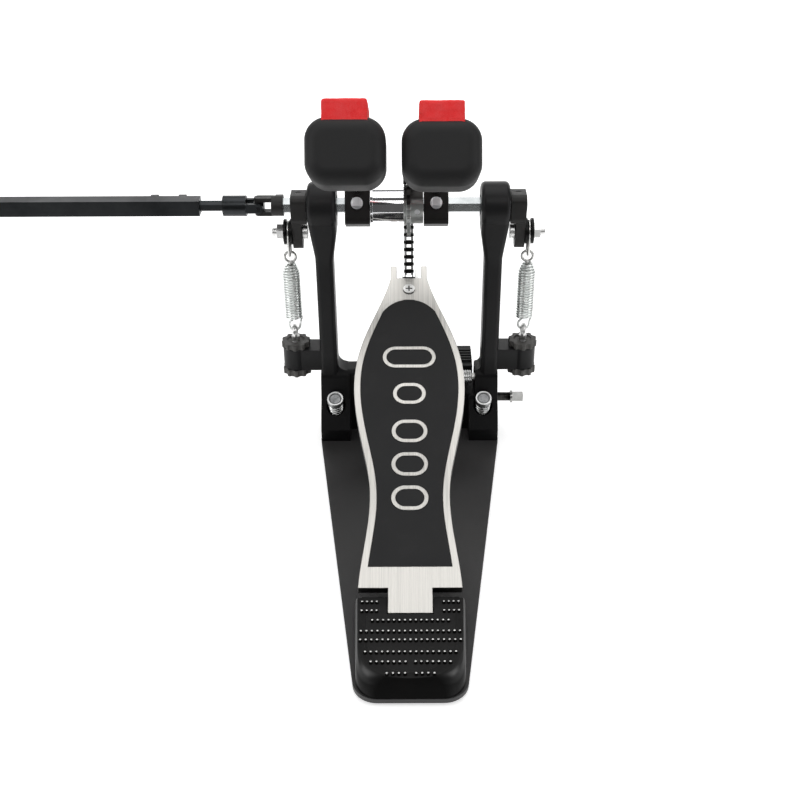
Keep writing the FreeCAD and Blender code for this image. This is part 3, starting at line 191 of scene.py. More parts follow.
# Edge wear and highlight: finds corners by a rounded normal, and breaks them up with noise. Coated finishes
# lighten these corners, as wear and as a painted highlight
edge_wear_and_highlight, wants, result = effect(
    "edge_wear_and_highlight",
    [("Place", "Vector", None), ("Width", "Float", 0.0005)],
    [("Mask", "Float"), ("Normal", "Vector")])
soft = add(edge_wear_and_highlight, "Bevel", {"Radius": wants["Width"]}, samples=6)
flat = add(edge_wear_and_highlight, "NewGeometry")
match = add(edge_wear_and_highlight, "VectorMath", {0: soft.outputs[0], 1: flat.outputs["Normal"]}, operation="DOT_PRODUCT")
corner = add(edge_wear_and_highlight, "MapRange", {"Value": match.outputs["Value"], "From Min": 0.995, "From Max": 0.86})
patch = add(edge_wear_and_highlight, "TexNoise", {"Vector": wants["Place"], "Scale": 160.0, "Detail": 5.0})
patch = add(edge_wear_and_highlight, "MapRange", {"Value": patch.outputs["Fac"], "From Min": 0.4, "From Max": 0.66})
mask = add(edge_wear_and_highlight, "Math", {0: corner.outputs[0], 1: patch.outputs[0]}, operation="MULTIPLY")
give(edge_wear_and_highlight, result, Mask=mask.outputs[0], Normal=soft.outputs[0])


def new_finish(name, **sockets):
    """A new material with socket values; returns it, its tree, its shader and Object coordinates."""
    made = bpy.data.materials.new(name)
    made.use_nodes = True
    tree = made.node_tree
    shader = tree.nodes["Principled BSDF"]
    for label, value in sockets.items():
        shader.inputs[label.replace("_", " ")].default_value = value
    return made, tree, shader, add(tree, "TexCoord").outputs["Object"]


def use(tree, group, at):
    """A node group placed in a tree."""
    return add(tree, "Group", at, node_tree=group)


def coated(name, colour, bloom, wear_and_highlight, cloud, grain, smooth, dull, depth, specular=0.35, width=0.0005):
    """A coated or moulded finish: coat skin, and edges lightened towards an edge colour, as wear and as a
    painted highlight.
    """
    made, tree, shader, here = new_finish(name, Specular_IOR_Level=specular)
    skin = use(tree, coat_skin, {"Place": here, "Colour": (*colour, 1), "Bloom": (*bloom, 1), "Cloud": cloud,
                                 "Grain": grain, "Smooth": smooth, "Dull": dull})
    rub = use(tree, edge_wear_and_highlight, {"Place": here, "Width": width})
    tone = mix(tree, rub.outputs["Mask"], skin.outputs["Colour"], (*wear_and_highlight, 1))
    bump = add(tree, "Bump", {"Strength": 0.6, "Distance": depth, "Height": skin.outputs["Height"],
                              "Normal": rub.outputs["Normal"]})
    tree.links.new(tone, shader.inputs["Base Color"])
    tree.links.new(skin.outputs["Roughness"], shader.inputs["Roughness"])
    tree.links.new(bump.outputs[0], shader.inputs["Normal"])
    return made


def dress(material, *names):
    """Puts a material on CAD nodes."""
    for name in names:
        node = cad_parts[name]
        if not node.material_slots:
            node.data.materials.append(material)
        for slot in node.material_slots:
            slot.material = material


plate_coat = coated("plate_coat", (0.03, 0.0292, 0.0296), (0.046, 0.045, 0.0455), (0.075, 0.075, 0.076),
                    cloud=14.0, grain=1300.0, smooth=0.36, dull=0.5, depth=0.00006, specular=0.4)
mat_rubber = coated("mat_rubber", (0.011, 0.011, 0.011), (0.02, 0.02, 0.02), (0.03, 0.03, 0.03),
                    cloud=40.0, grain=2200.0, smooth=0.7, dull=0.9, depth=0.00012, specular=0.2)
dress(plate_coat, "base_plate")
dress(mat_rubber, "base_pad", "jaw_pad")

# Heel plate: a moulded black block on the base, which holds the hinge of the board.
# Its top has rows of small black studs for grip, with a painted highlight on their tips and painted shade on
# their sides. The pin is blackened steel.
heel_black = coated("heel_black", (0.017, 0.0168, 0.0167), (0.027, 0.0266, 0.0264), (0.045, 0.044, 0.043),
                    cloud=26.0, grain=1100.0, smooth=0.5, dull=0.66, depth=0.00008, specular=0.11, width=0.0009)
dress(heel_black, "heel_plate", "hinge_pin")

# Plating: bright metal whose tone and gloss drift a little, with fine handling marks
plating, wants, result = effect(
    "plating",
    [("Place", "Vector", None), ("Bright", "Color", (0.8, 0.8, 0.8, 1)), ("Dim", "Color", (0.5, 0.5, 0.5, 1)),
     ("Cloud", "Float", 90.0), ("Smooth", "Float", 0.1), ("Dull", "Float", 0.3)],
    [("Colour", "Color"), ("Roughness", "Float"), ("Height", "Float")])
drift = add(plating, "TexNoise", {"Vector": wants["Place"], "Scale": wants["Cloud"],
                                  "Detail": 5.0, "Roughness": 0.65})
share = add(plating, "MapRange", {"Value": drift.outputs["Fac"], "From Min": 0.35, "From Max": 0.7})
tone = mix(plating, share.outputs[0], wants["Bright"], wants["Dim"])
gloss = add(plating, "MapRange", {"Value": drift.outputs["Fac"], "From Min": 0.3, "From Max": 0.7,
                                  "To Min": wants["Smooth"], "To Max": wants["Dull"]})
marks = add(plating, "TexNoise", {"Vector": wants["Place"], "Scale": 1900.0, "Detail": 3.0})
give(plating, result, Colour=tone, Roughness=gloss.outputs[0], Height=marks.outputs["Fac"])


def plating_skin(tree, here, bright, dim, cloud, smooth, dull):
    """The plating group, placed in a tree with its two tones and glosses."""
    return use(tree, plating, {"Place": here, "Bright": (*bright, 1), "Dim": (*dim, 1), "Cloud": cloud,
                               "Smooth": smooth, "Dull": dull})


def plated(name, bright, dim, cloud, smooth, dull, depth, width=0.0003):
    """A plated metal finish with softened corners."""
    made, tree, shader, here = new_finish(name, Metallic=1.0)
    skin = plating_skin(tree, here, bright, dim, cloud, smooth, dull)
    rub = use(tree, edge_wear_and_highlight, {"Place": here, "Width": width})
    bump = add(tree, "Bump", {"Strength": 0.5, "Distance": depth, "Height": skin.outputs["Height"],
                              "Normal": rub.outputs["Normal"]})
    tree.links.new(skin.outputs["Colour"], shader.inputs["Base Color"])
    tree.links.new(skin.outputs["Roughness"], shader.inputs["Roughness"])
    tree.links.new(bump.outputs[0], shader.inputs["Normal"])
    return made


zinc = plated("zinc", (0.74, 0.74, 0.72), (0.5, 0.5, 0.49),
              cloud=120.0, smooth=0.2, dull=0.36, depth=0.00002)
chrome = plated("chrome", (0.86, 0.86, 0.87), (0.74, 0.74, 0.76),
                cloud=60.0, smooth=0.05, dull=0.12, depth=0.000004)
# Painted highlight: bright plated metal on the studs' tips; the chain screw's head uses it as its own zinc
stud_highlight_and_screw_zinc = plated("stud_highlight_and_screw_zinc", (0.88, 0.88, 0.86), (0.76, 0.76, 0.75),
                  cloud=60.0, smooth=0.36, dull=0.48, depth=0.000004)
# Painted shade: near-black sides of the studs, darker than the plate's top
stud_painted_shade = coated("stud_painted_shade", (0.003, 0.0027, 0.0026), (0.005, 0.0046, 0.0044), (0.008, 0.0075, 0.007),
                   cloud=60.0, grain=1500.0, smooth=0.6, dull=0.75, depth=0.00003, specular=0.04, width=0.0002)
dress(zinc, "base_screws")

MM = 0.001
STUD_ROWS = [
    (-226.7, [20.7, 23.7, 26.7, 29.7]), (-234.6, [20.7, 23.7, 26.7, 29.7]),
    (-243.0, [3.3 * k for k in range(8)]), (-252.2, [3.29 * k for k in range(10)]),
    (-259.5, [3.31 * k for k in range(10)]), (-269.3, [3.33 * k for k in range(9)]),
    (-277.2, [2.9 + 3.37 * k for k in range(7)]), (-286.2, [3.2 + 3.47 * k for k in range(4)]),
]


def joined(name, pieces):
    """Makes one object of several, each already in its place."""
    bpy.ops.object.select_all(action="DESELECT")
    for piece in pieces:
        piece.select_set(True)
    bpy.context.view_layer.objects.active = pieces[0]
    if len(pieces) > 1:
        bpy.ops.object.join()
    made = bpy.context.object
    made.name = name
    made.data.name = name
    return made


def fresh_copy(piece, move):
    """A copy with its own mesh, moved by a matrix."""
    other = piece.copy()
    other.data = piece.data.copy()
    other.data.transform(move)
    bpy.context.collection.objects.link(other)
    return other


bpy.ops.object.select_all(action="DESELECT")
bpy.ops.mesh.primitive_cone_add(vertices=12, radius1=1.2 * MM, radius2=0.66 * MM, depth=1.7 * MM)
stud = bpy.context.object
stud.data.materials.append(stud_painted_shade)
stud.data.materials.append(stud_highlight_and_screw_zinc)
bpy.ops.object.mode_set(mode="EDIT")
bpy.ops.mesh.select_all(action="DESELECT")
bpy.ops.object.mode_set(mode="OBJECT")
for face in stud.data.polygons:
    face.select = face.normal.z > 0.9
bpy.ops.object.mode_set(mode="EDIT")
bpy.ops.mesh.inset(thickness=0.2 * MM)
bpy.ops.transform.translate(value=(0, 0, 0.16 * MM))
bpy.ops.object.mode_set(mode="OBJECT")
# Top faces take the painted highlight, the other faces the painted shade
for face in stud.data.polygons:
    face.material_index = int(face.normal.z > 0.6)
bpy.ops.object.shade_smooth_by_angle(angle=math.radians(40))
studs = []
heel_top, stud_middle = 21.0, 0.8
for along, spots in STUD_ROWS:
    for across in sorted({sign * spot for spot in spots for sign in (1, -1)}):
        place = Vector((across, along, heel_top + stud_middle)) * MM
        studs.append(fresh_copy(stud, Matrix.Translation(place)))
bpy.data.objects.remove(stud)
heel_studs = joined("heel_studs", studs)
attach(heel_studs, "frame")

# Heel flank: one smooth skin from the studded top, which ends in a long round, down to the edge of the base.
# It is moulded in one with the heel plate, and feet have polished its two corners. Faces that turn away from
# straight up are painted darker, as shade.
bpy.ops.object.select_all(action="DESELECT")
bpy.ops.mesh.primitive_grid_add(x_subdivisions=120, y_subdivisions=22, size=2)
heel_flank = bpy.context.object
front_y, round_y, heel_y = -222.2, -258, -289.9
foot_half, foot_side, foot_corner = 35.3, 0.42, 0.82
corner_x, corner_y, corner_radius = 17.75, -275, 14.9
edge_half, edge_side, arch_half, arch_deep = 32.7, 0.34, 31.4, 30.7
slope_share, lip_share = 0.75, 0.16
base_top, flank_rise = 5.2, 15.85
for point in heel_flank.data.vertices:
    # walk goes from the board's side to the middle of the heel, climb from the base up onto the top
    side, walk = math.copysign(1, point.co.x), 1 - abs(point.co.x)
    climb = (point.co.y + 1) / 2
    if walk < foot_side:
        foot = Vector((foot_half, front_y)).lerp(Vector((corner_x + corner_radius, corner_y)), walk / foot_side)
    elif walk < foot_corner:
        turn = (walk - foot_side) / (foot_corner - foot_side) * math.pi / 2
        foot = Vector((corner_x + corner_radius * math.cos(turn), corner_y - corner_radius * math.sin(turn)))
    else:
        foot = Vector((corner_x * (1 - walk) / (1 - foot_corner), heel_y))
    if walk < edge_side:
        edge = Vector((edge_half, front_y)).lerp(Vector((arch_half, round_y)), walk / edge_side)
    else:
        turn = (walk - edge_side) / (1 - edge_side) * math.pi / 2
        edge = Vector((arch_half * max(math.cos(turn), 0) ** 0.92, round_y - arch_deep * math.sin(turn)))
    lift = min(climb / slope_share, 1) * math.pi / 2
    spot = foot.lerp(edge, 1 - math.cos(lift))
    inward = max(climb - slope_share, 0) / (1 - slope_share) * lip_share
    spot = spot.lerp(Vector((0, max(spot.y, round_y))), inward)
    point.co = (side * spot.x * MM, spot.y * MM, (base_top + flank_rise * math.sin(lift)) * MM)


def clean_mesh():
    """Merges doubled points of the active mesh and turns its faces outward."""
    bpy.ops.object.mode_set(mode="EDIT")
    bpy.ops.mesh.select_all(action="SELECT")
    bpy.ops.mesh.remove_doubles(threshold=0.00001)
    bpy.ops.mesh.normals_make_consistent(inside=False)
    bpy.ops.object.mode_set(mode="OBJECT")


def apply_change(piece, kind, **settings):
    """Puts a modifier on the active piece and applies it."""
    change = piece.modifiers.new(kind.lower(), kind)
    for name, value in settings.items():
        setattr(change, name, value)
    bpy.ops.object.modifier_apply(modifier=change.name)


clean_mesh()
apply_change(heel_flank, "SOLIDIFY", thickness=0.4 * MM, offset=-1)
bpy.ops.object.shade_smooth_by_angle(angle=math.radians(50))
heel_flank.name = "heel_flank"
heel_flank.data.name = "heel_flank"
flank_black = coated("flank_black", (0.017, 0.0168, 0.0167), (0.027, 0.0266, 0.0264), (0.045, 0.044, 0.043),
                     cloud=26.0, grain=1100.0, smooth=0.3, dull=0.4, depth=0.00002, width=0.0009)


def dimmed(tree, level):
    """Scales the base colour of a finish by a level; returns the shader."""
    shader = tree.nodes["Principled BSDF"]
    skin = shader.inputs["Base Color"].links[0].from_socket
    tone = add(tree, "VectorMath", {0: skin, "Scale": level}, operation="SCALE")
    tree.links.new(tone.outputs[0], shader.inputs["Base Color"])
    return shader


# Painted shade: the flank darkens to 0.4 of its tone where it turns away from straight up
tree = flank_black.node_tree
facing = add(tree, "SeparateXYZ", {0: add(tree, "TexCoord").outputs["Normal"]})
level = add(tree, "MapRange", {"Value": facing.outputs[2], "From Min": 0.75, "From Max": 0.97, "To Min": 0.4})
shader = dimmed(tree, level.outputs[0])
sideways = add(tree, "Math", {0: facing.outputs[0]}, operation="ABSOLUTE")
upper = add(tree, "MapRange", {"Value": facing.outputs[2], "From Min": 0.3, "From Max": 0.62, "To Min": 0.1})
polish = add(tree, "MapRange", {"Value": sideways.outputs[0], "From Min": 0.2, "From Max": 0.5,
                                "To Min": 0.06, "To Max": 0.6})
polish = add(tree, "Math", {0: polish.outputs[0], 1: upper.outputs[0]}, operation="MULTIPLY")
tree.links.new(polish.outputs[0], shader.inputs["Specular IOR Level"])
heel_flank.data.materials.append(flank_black)
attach(heel_flank, "frame")

# Frame: one aluminium casting of two posts, a crossbar and two lugs, powder coated satin black.
# Its lower part is painted darker, as shade near the base, and its gloss is lower there. Ball bearings are
# pressed into the post heads, and screws hold it to the plate.
cast_coat = coated("cast_coat", (0.0105, 0.0105, 0.011), (0.018, 0.018, 0.019), (0.04, 0.04, 0.042),
                   cloud=20.0, grain=1500.0, smooth=0.34, dull=0.48, depth=0.00005, specular=0.2, width=0.0008)
# Painted shade: the coat darkens to 0.52 of its tone towards the bottom, and its specular level drops with it
tree = cast_coat.node_tree
height = add(tree, "SeparateXYZ", {0: add(tree, "TexCoord").outputs["Object"]}).outputs[2]
level = add(tree, "MapRange", {"Value": height, "From Min": 0.055, "From Max": 0.072, "To Min": 0.52})
shader = dimmed(tree, level.outputs[0])
polish = add(tree, "Math", {0: level.outputs[0], 1: 0.2}, operation="MULTIPLY")
tree.links.new(polish.outputs[0], shader.inputs["Specular IOR Level"])
dress(cast_coat, "frame_casting")
dress(zinc, "axle_bearings")

# Spurs: knurled steel pins that slide in the feet and bite the floor.
# A short thick coil under each head pushes it up; the third coil opens the hoop clamp.


def wound_wire(name, points, thick):
    """A round wire bent along the points, as a closed mesh."""
    bpy.ops.object.select_all(action="DESELECT")
    path = bpy.data.curves.new(name, "CURVE")
    path.dimensions = "3D"
    path.bevel_depth = thick
    path.bevel_resolution = 3
    path.use_fill_caps = True
    line = path.splines.new("POLY")
    line.points.add(len(points) - 1)
    for knot, spot in zip(line.points, points):
        knot.co = (*spot, 1)
    made = bpy.data.objects.new(name, path)
    bpy.context.collection.objects.link(made)
    made.select_set(True)
    bpy.context.view_layer.objects.active = made
    bpy.ops.object.convert(target="MESH")
    clean_mesh()
    bpy.ops.object.shade_smooth()
    return bpy.context.object


def turns(radius, rise, count, first=0.0, grow=0.0, steps=26):
    """Points of a coil about Z, in metres from millimetres."""
    number = int(count * steps)
    spots = []
    for k in range(number + 1):
        share = k / number
        angle = first + share * count * 2 * math.pi
        out = radius + grow * share
        spots.append(Vector((out * math.cos(angle), out * math.sin(angle), rise * share)) * MM)
    return spots


SPUR_TOP = Vector((57, -20, 40.5)) * MM
SPUR_LEAN = math.radians(27)
coil_foot = -18.7
spur_coils = []
for side in (1, -1):
    lean = (Matrix.Translation((side * SPUR_TOP.x, SPUR_TOP.y, SPUR_TOP.z))
            @ Matrix.Rotation(SPUR_LEAN, 4, "X") @ Matrix.Translation((0, 0, coil_foot * MM)))
    coil = wound_wire("spur_coil", turns(radius=4.9, rise=12.9, count=4.6), 0.95 * MM)
    coil.data.transform(lean)
    spur_coils.append(coil)
clamp_pivot = Vector((40, -4, 50)) * MM
clamp_coil = wound_wire("clamp_coil", turns(radius=4.6, rise=7.6, count=4.6, first=math.pi / 2), 0.75 * MM)
clamp_coil.data.transform(Matrix.Translation(clamp_pivot) @ Matrix.Rotation(math.pi / 2, 4, "Y"))
short_coils = joined("short_coils", spur_coils + [clamp_coil])
coil_zinc = plated("coil_zinc", (0.8, 0.805, 0.8), (0.62, 0.625, 0.62),
                   cloud=160.0, smooth=0.2, dull=0.32, depth=0.000008)
short_coils.data.materials.append(coil_zinc)
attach(short_coils, "frame")
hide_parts("small_springs")


def metal_look(tree, shader, here, tone, gloss, width=0.0004):
    """Joins tone and gloss to a metal's shader, and softens its corners."""
    rub = use(tree, edge_wear_and_highlight, {"Place": here, "Width": width})
    tree.links.new(tone, shader.inputs["Base Color"])
    tree.links.new(gloss, shader.inputs["Roughness"])
    tree.links.new(rub.outputs["Normal"], shader.inputs["Normal"])


# Spur heads: a painted highlight on the rim, a ring of painted shade inside it and a grey middle, by the
# distance from the pin's axis
spur_steel, tree, shader, here = new_finish("spur_steel", Metallic=1.0)
spot = add(tree, "SeparateXYZ", {0: here})
across = add(tree, "Math", {0: spot.outputs[0]}, operation="ABSOLUTE")
spot = add(tree, "CombineXYZ", {0: across.outputs[0], 1: spot.outputs[1], 2: spot.outputs[2]})
spot = add(tree, "VectorMath", {0: spot.outputs[0], 1: SPUR_TOP}, operation="SUBTRACT")
upright = add(tree, "Mapping", {"Vector": spot.outputs[0], "Rotation": (-SPUR_LEAN, 0, 0)})
upright = add(tree, "VectorMath", {0: upright.outputs[0], 1: (1, 1, 0)}, operation="MULTIPLY")
out = add(tree, "VectorMath", {0: upright.outputs[0]}, operation="LENGTH").outputs["Value"]
skin = plating_skin(tree, here, (0.4, 0.405, 0.41), (0.16, 0.163, 0.167), cloud=420.0, smooth=0.24, dull=0.42)
# Painted highlight at the rim, painted shade in the ring inside it
edge = add(tree, "MapRange", {"Value": out, "From Min": 0.0046, "From Max": 0.0051})
painted_shade_band = add(tree, "MapRange", {"Value": out, "From Min": 0.0036, "From Max": 0.0042})
tone = mix(tree, painted_shade_band.outputs[0], skin.outputs["Colour"], (0.1, 0.102, 0.105, 1))
tone = mix(tree, edge.outputs[0], tone, (0.78, 0.785, 0.78, 1))
metal_look(tree, shader, here, tone, skin.outputs["Roughness"])
dress(spur_steel, "right_spur", "left_spur")

# Hoop clamp: a ribbed cast jaw on a steel pin, with a rubber pad.
# A cone-pointed screw enters from the right; its rod is dark and threaded, its collar and key end bright.
dress(cast_coat, "clamp_jaw")
dress(zinc, "clamp_pin")

# Screw thread: ridges along one axis, and painted shade in the grooves between them
screw_thread, wants, result = effect(
    "screw_thread",
    [("Along", "Float", 0.0), ("Pitch", "Float", 0.001)],
    [("Height", "Float"), ("Groove", "Float")])
count = add(screw_thread, "Math", {0: wants["Along"], 1: wants["Pitch"]}, operation="DIVIDE")
ridge = add(screw_thread, "Math", {0: count.outputs[0], 1: 0.5}, operation="PINGPONG")
height = add(screw_thread, "Math", {0: ridge.outputs[0], 1: 2.0}, operation="MULTIPLY")
painted_shade_band = add(screw_thread, "MapRange", {"Value": height.outputs[0], "From Min": 0.55, "From Max": 0.1})
give(screw_thread, result, Height=height.outputs[0], Groove=painted_shade_band.outputs[0])


def threaded(name, axis, low, high, pitch, bright, dark, deep, dark_base=0.3):
    """A plated screw, threaded between two stations along an axis and bright beyond them."""
    made, tree, shader, here = new_finish(name, Metallic=1.0)
    spot = add(tree, "SeparateXYZ", {0: here}).outputs[axis]
    thread = use(tree, screw_thread, {"Along": spot, "Pitch": pitch})
    above = add(tree, "Math", {0: spot, 1: low}, operation="GREATER_THAN")
    below = add(tree, "Math", {0: spot, 1: high}, operation="LESS_THAN")
    inside = add(tree, "Math", {0: above.outputs[0], 1: below.outputs[0]}, operation="MULTIPLY")
    dim = tuple(0.7 * part for part in bright)
    skin = plating_skin(tree, here, bright, dim, cloud=120.0, smooth=0.26, dull=0.42)
    # Painted shade in the grooves, over a dark base tone across the whole threaded length
    dark_and_groove_shade = add(tree, "Math", {0: thread.outputs["Groove"], 1: 1 - dark_base, 2: dark_base},
               operation="MULTIPLY_ADD")
    dark_and_groove_shade = add(tree, "Math", {0: dark_and_groove_shade.outputs[0], 1: inside.outputs[0]}, operation="MULTIPLY")
    tone = mix(tree, dark_and_groove_shade.outputs[0], skin.outputs["Colour"], (*dark, 1))
    ridges = add(tree, "Math", {0: thread.outputs["Height"], 1: inside.outputs[0]}, operation="MULTIPLY")
    bump = add(tree, "Bump", {"Strength": 0.9, "Distance": deep, "Height": ridges.outputs[0]})
    tree.links.new(tone, shader.inputs["Base Color"])
    tree.links.new(skin.outputs["Roughness"], shader.inputs["Roughness"])
    tree.links.new(bump.outputs[0], shader.inputs["Normal"])
    return made


clamp_thread = threaded("clamp_thread", axis=0, low=0.0446, high=0.0794, pitch=0.001, bright=(0.42, 0.42, 0.41),
                        dark=(0.022, 0.021, 0.019), deep=0.0004, dark_base=0.8)
dress(clamp_thread, "clamp_screw")

# Footboard: a waisted aluminium casting, brushed along its length, with a black grip sheet let into it.
# It turns on the heel pin, and a small bracket under its toe takes the end of the chain.
BOARD_TILT = math.radians(22.5)
BOARD = Matrix.Translation((0, -226 * MM, 16 * MM)) @ Matrix.Rotation(BOARD_TILT, 4, "X")

# Brush lines: fine and broad streaks of tone, gloss and height along one direction
brush_lines, wants, result = effect(
    "brush_lines",
    [("Place", "Vector", None), ("Bright", "Color", (0.75, 0.74, 0.72, 1)),
     ("Dark", "Color", (0.5, 0.5, 0.49, 1)), ("Smooth", "Float", 0.28), ("Dull", "Float", 0.45)],
    [("Colour", "Color"), ("Roughness", "Float"), ("Height", "Float")])
fine = add(brush_lines, "Mapping", {"Vector": wants["Place"], "Scale": (2600, 22, 22)})
fine = add(brush_lines, "TexNoise", {"Vector": fine.outputs[0], "Scale": 1.0, "Detail": 3.0})
broad = add(brush_lines, "Mapping", {"Vector": wants["Place"], "Scale": (420, 7, 7)})
broad = add(brush_lines, "TexNoise", {"Vector": broad.outputs[0], "Scale": 1.0, "Detail": 2.0})
both = add(brush_lines, "Math", {0: fine.outputs["Fac"], 1: 0.55}, operation="MULTIPLY")
both = add(brush_lines, "Math", {0: broad.outputs["Fac"], 1: 0.45, 2: both.outputs[0]},
           operation="MULTIPLY_ADD")
share = add(brush_lines, "MapRange", {"Value": both.outputs[0], "From Min": 0.36, "From Max": 0.62})
tone = mix(brush_lines, share.outputs[0], wants["Dark"], wants["Bright"])
gloss = add(brush_lines, "MapRange", {"Value": both.outputs[0], "From Min": 0.35, "From Max": 0.65,
                                      "To Min": wants["Smooth"], "To Max": wants["Dull"]})
give(brush_lines, result, Colour=tone, Roughness=gloss.outputs[0], Height=fine.outputs["Fac"])


def brushed(name, bright, dark, smooth, dull, depth):
    """Bare aluminium brushed along the board, with its side faces darker."""
    made, tree, shader, here = new_finish(name, Metallic=1.0)
    lying = add(tree, "Mapping", {"Vector": here, "Rotation": (-BOARD_TILT, 0, 0)})
    lines = use(tree, brush_lines, {"Place": lying.outputs[0], "Bright": (*bright, 1), "Dark": (*dark, 1),
                                    "Smooth": smooth, "Dull": dull})
    rub = use(tree, edge_wear_and_highlight, {"Place": here, "Width": 0.0006})
    bump = add(tree, "Bump", {"Strength": 0.5, "Distance": depth, "Height": lines.outputs["Height"],
                              "Normal": rub.outputs["Normal"]})
    facing = add(tree, "TexCoord").outputs["Normal"]
    board_up = (0, -math.sin(BOARD_TILT), math.cos(BOARD_TILT))
    upward = add(tree, "VectorMath", {0: facing, 1: board_up}, operation="DOT_PRODUCT")
    upward = add(tree, "Math", {0: upward.outputs["Value"]}, operation="ABSOLUTE")
    top = add(tree, "MapRange", {"Value": upward.outputs[0], "From Min": 0.3, "From Max": 0.75})
    side_tone = (0.11, 0.108, 0.104, 1)
    tone = mix(tree, top.outputs[0], side_tone, lines.outputs["Colour"])
    tree.links.new(tone, shader.inputs["Base Color"])
    tree.links.new(lines.outputs["Roughness"], shader.inputs["Roughness"])
    tree.links.new(bump.outputs[0], shader.inputs["Normal"])
    return made


board_metal = brushed("board_metal", (0.7, 0.682, 0.645), (0.48, 0.47, 0.445),
                      smooth=0.3, dull=0.46, depth=0.00002)
grip_sheet = coated("grip_sheet", (0.0175, 0.0175, 0.0182), (0.027, 0.027, 0.028), (0.06, 0.06, 0.06),
                    cloud=45.0, grain=1800.0, smooth=0.62, dull=0.82, depth=0.0001, specular=0.3)
dress(board_metal, "footboard")
dress(grip_sheet, "grip_panel")
dress(zinc, "chain_bracket")

# Grip rings: five plain outlined rings of the board's brushed metal, let into the grip sheet.
# They stand a hair above it, and give the shoe an edge to hold.


def raise_faces(height):
    """Extrudes the active flat mesh upward into a closed body."""
    bpy.ops.object.mode_set(mode="EDIT")
    bpy.ops.mesh.select_all(action="SELECT")
    bpy.ops.mesh.extrude_region_move(TRANSFORM_OT_translate={"value": (0, 0, height)})
    bpy.ops.mesh.select_all(action="SELECT")
    bpy.ops.mesh.normals_make_consistent(inside=False)
    bpy.ops.object.mode_set(mode="OBJECT")


def stadium_ring(wide, tall, line, steps=14):
    """A thin outlined stadium about the origin, in metres from millimetres."""
    bpy.ops.object.select_all(action="DESELECT")
    bpy.ops.mesh.primitive_circle_add(vertices=4 * steps, radius=tall / 2 * MM, fill_type="NGON")
    ring = bpy.context.object
    for point in ring.data.vertices:
        point.co.x += math.copysign((wide - tall) / 2 * MM, point.co.x)
    bpy.ops.object.mode_set(mode="EDIT")
    bpy.ops.mesh.select_all(action="SELECT")
    bpy.ops.mesh.inset(thickness=line * MM)
    bpy.ops.mesh.delete(type="FACE")
    bpy.ops.object.mode_set(mode="OBJECT")
    raise_faces(0.35 * MM)
    return ring


RING_SIZES = [(191, 38, 19), (159, 23, 18), (127.5, 24.5, 18.5), (101, 24.5, 18.5), (75, 24.5, 18.5)]
ring_line, ring_foot = 2.7, 6.85
rings = []
for along, wide, tall in RING_SIZES:
    ring = stadium_ring(wide, tall, ring_line)
    ring.data.transform(BOARD @ Matrix.Translation((0, along * MM, ring_foot * MM)))
    rings.append(ring)
grip_rings = joined("grip_rings", rings)
grip_rings.data.materials.append(board_metal)
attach(grip_rings, "footboard")

# Rim corners: two slips of the board's own metal, cast in one with its rim.
# At the toe the rim rounds in over the grip sheet, so that the sheet ends in an arch.
CORNER_OUTLINE = [
    (21.2, 230.6), (19.6, 232.9), (17.6, 235.6), (15.6, 237.8), (13.3, 239.9), (10.4, 241.9),
    (7.5, 243.3), (4.2, 244.2), (4.0, 244.9), (7.5, 244.4), (10.5, 243.6), (13.5, 242.6),
    (16.4, 241.0), (17.6, 239.0), (18.9, 236.2), (20.2, 233.4),
]
corner_foot, corner_thick = 6.6, 0.44
corners = []
for side in (1, -1):
    bpy.ops.object.select_all(action="DESELECT")
    bpy.ops.mesh.primitive_circle_add(vertices=len(CORNER_OUTLINE), radius=MM, fill_type="NGON")
    corner = bpy.context.object
    for point, (across, along) in zip(corner.data.vertices, CORNER_OUTLINE):
        point.co = (side * across * MM, along * MM, corner_foot * MM)
    raise_faces(corner_thick * MM)
    corner.data.transform(BOARD)
    corners.append(corner)
rim_corners = joined("rim_corners", corners)
rim_corners.data.materials.append(board_metal)
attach(rim_corners, "footboard")

# Chain screw: a low cross-slotted head on the board's toe, zinc plated, with painted shade in its slot and in a
# ring round its edge.
# Its shank goes through the board and the chain bracket, to a nut below.
screw_along, board_top = 255 * MM, 7.0 * MM
head_radius, head_thick = 4.5 * MM, 1.0 * MM
slot_long, slot_wide, slot_tall = 5.0 * MM, 1.0 * MM, 1.6 * MM
slot_reach, slot_top, painted_shadow_ring = 2.9 * MM, 0.97 * MM, 4.42 * MM


def round_bar(sides, radius, long, place):
    """A round or six-sided bar about Z, with its place in its mesh."""
    bpy.ops.object.select_all(action="DESELECT")
    bpy.ops.mesh.primitive_cylinder_add(vertices=sides, radius=radius, depth=long, location=place)
    bpy.ops.object.transform_apply(location=True)
    return bpy.context.object


head = round_bar(48, head_radius, head_thick, (0, 0, head_thick / 2))
head.data.materials.append(stud_highlight_and_screw_zinc)
head.data.materials.append(heel_black)
apply_change(head, "BEVEL", width=0.3 * MM, segments=3, limit_method="ANGLE")
slots = []
for wide, deep in ((slot_long, slot_wide), (slot_wide, slot_long)):
    bpy.ops.mesh.primitive_cube_add(size=1, location=(0, 0, head_thick))
    slot = bpy.context.object
    slot.data.transform(Matrix.Diagonal((wide, deep, slot_tall, 1)))
    bpy.ops.object.transform_apply(location=True)
    bpy.ops.object.mode_set(mode="EDIT")
    bpy.ops.mesh.select_all(action="SELECT")
    bpy.ops.mesh.bevel(offset=0.2 * MM, segments=2)
    bpy.ops.object.mode_set(mode="OBJECT")
    slots.append(slot)
for slot in slots:
    bpy.ops.object.select_all(action="DESELECT")
    head.select_set(True)
    bpy.context.view_layer.objects.active = head
    apply_change(head, "BOOLEAN", operation="DIFFERENCE", object=slot, solver="EXACT")
    bpy.data.objects.remove(slot)
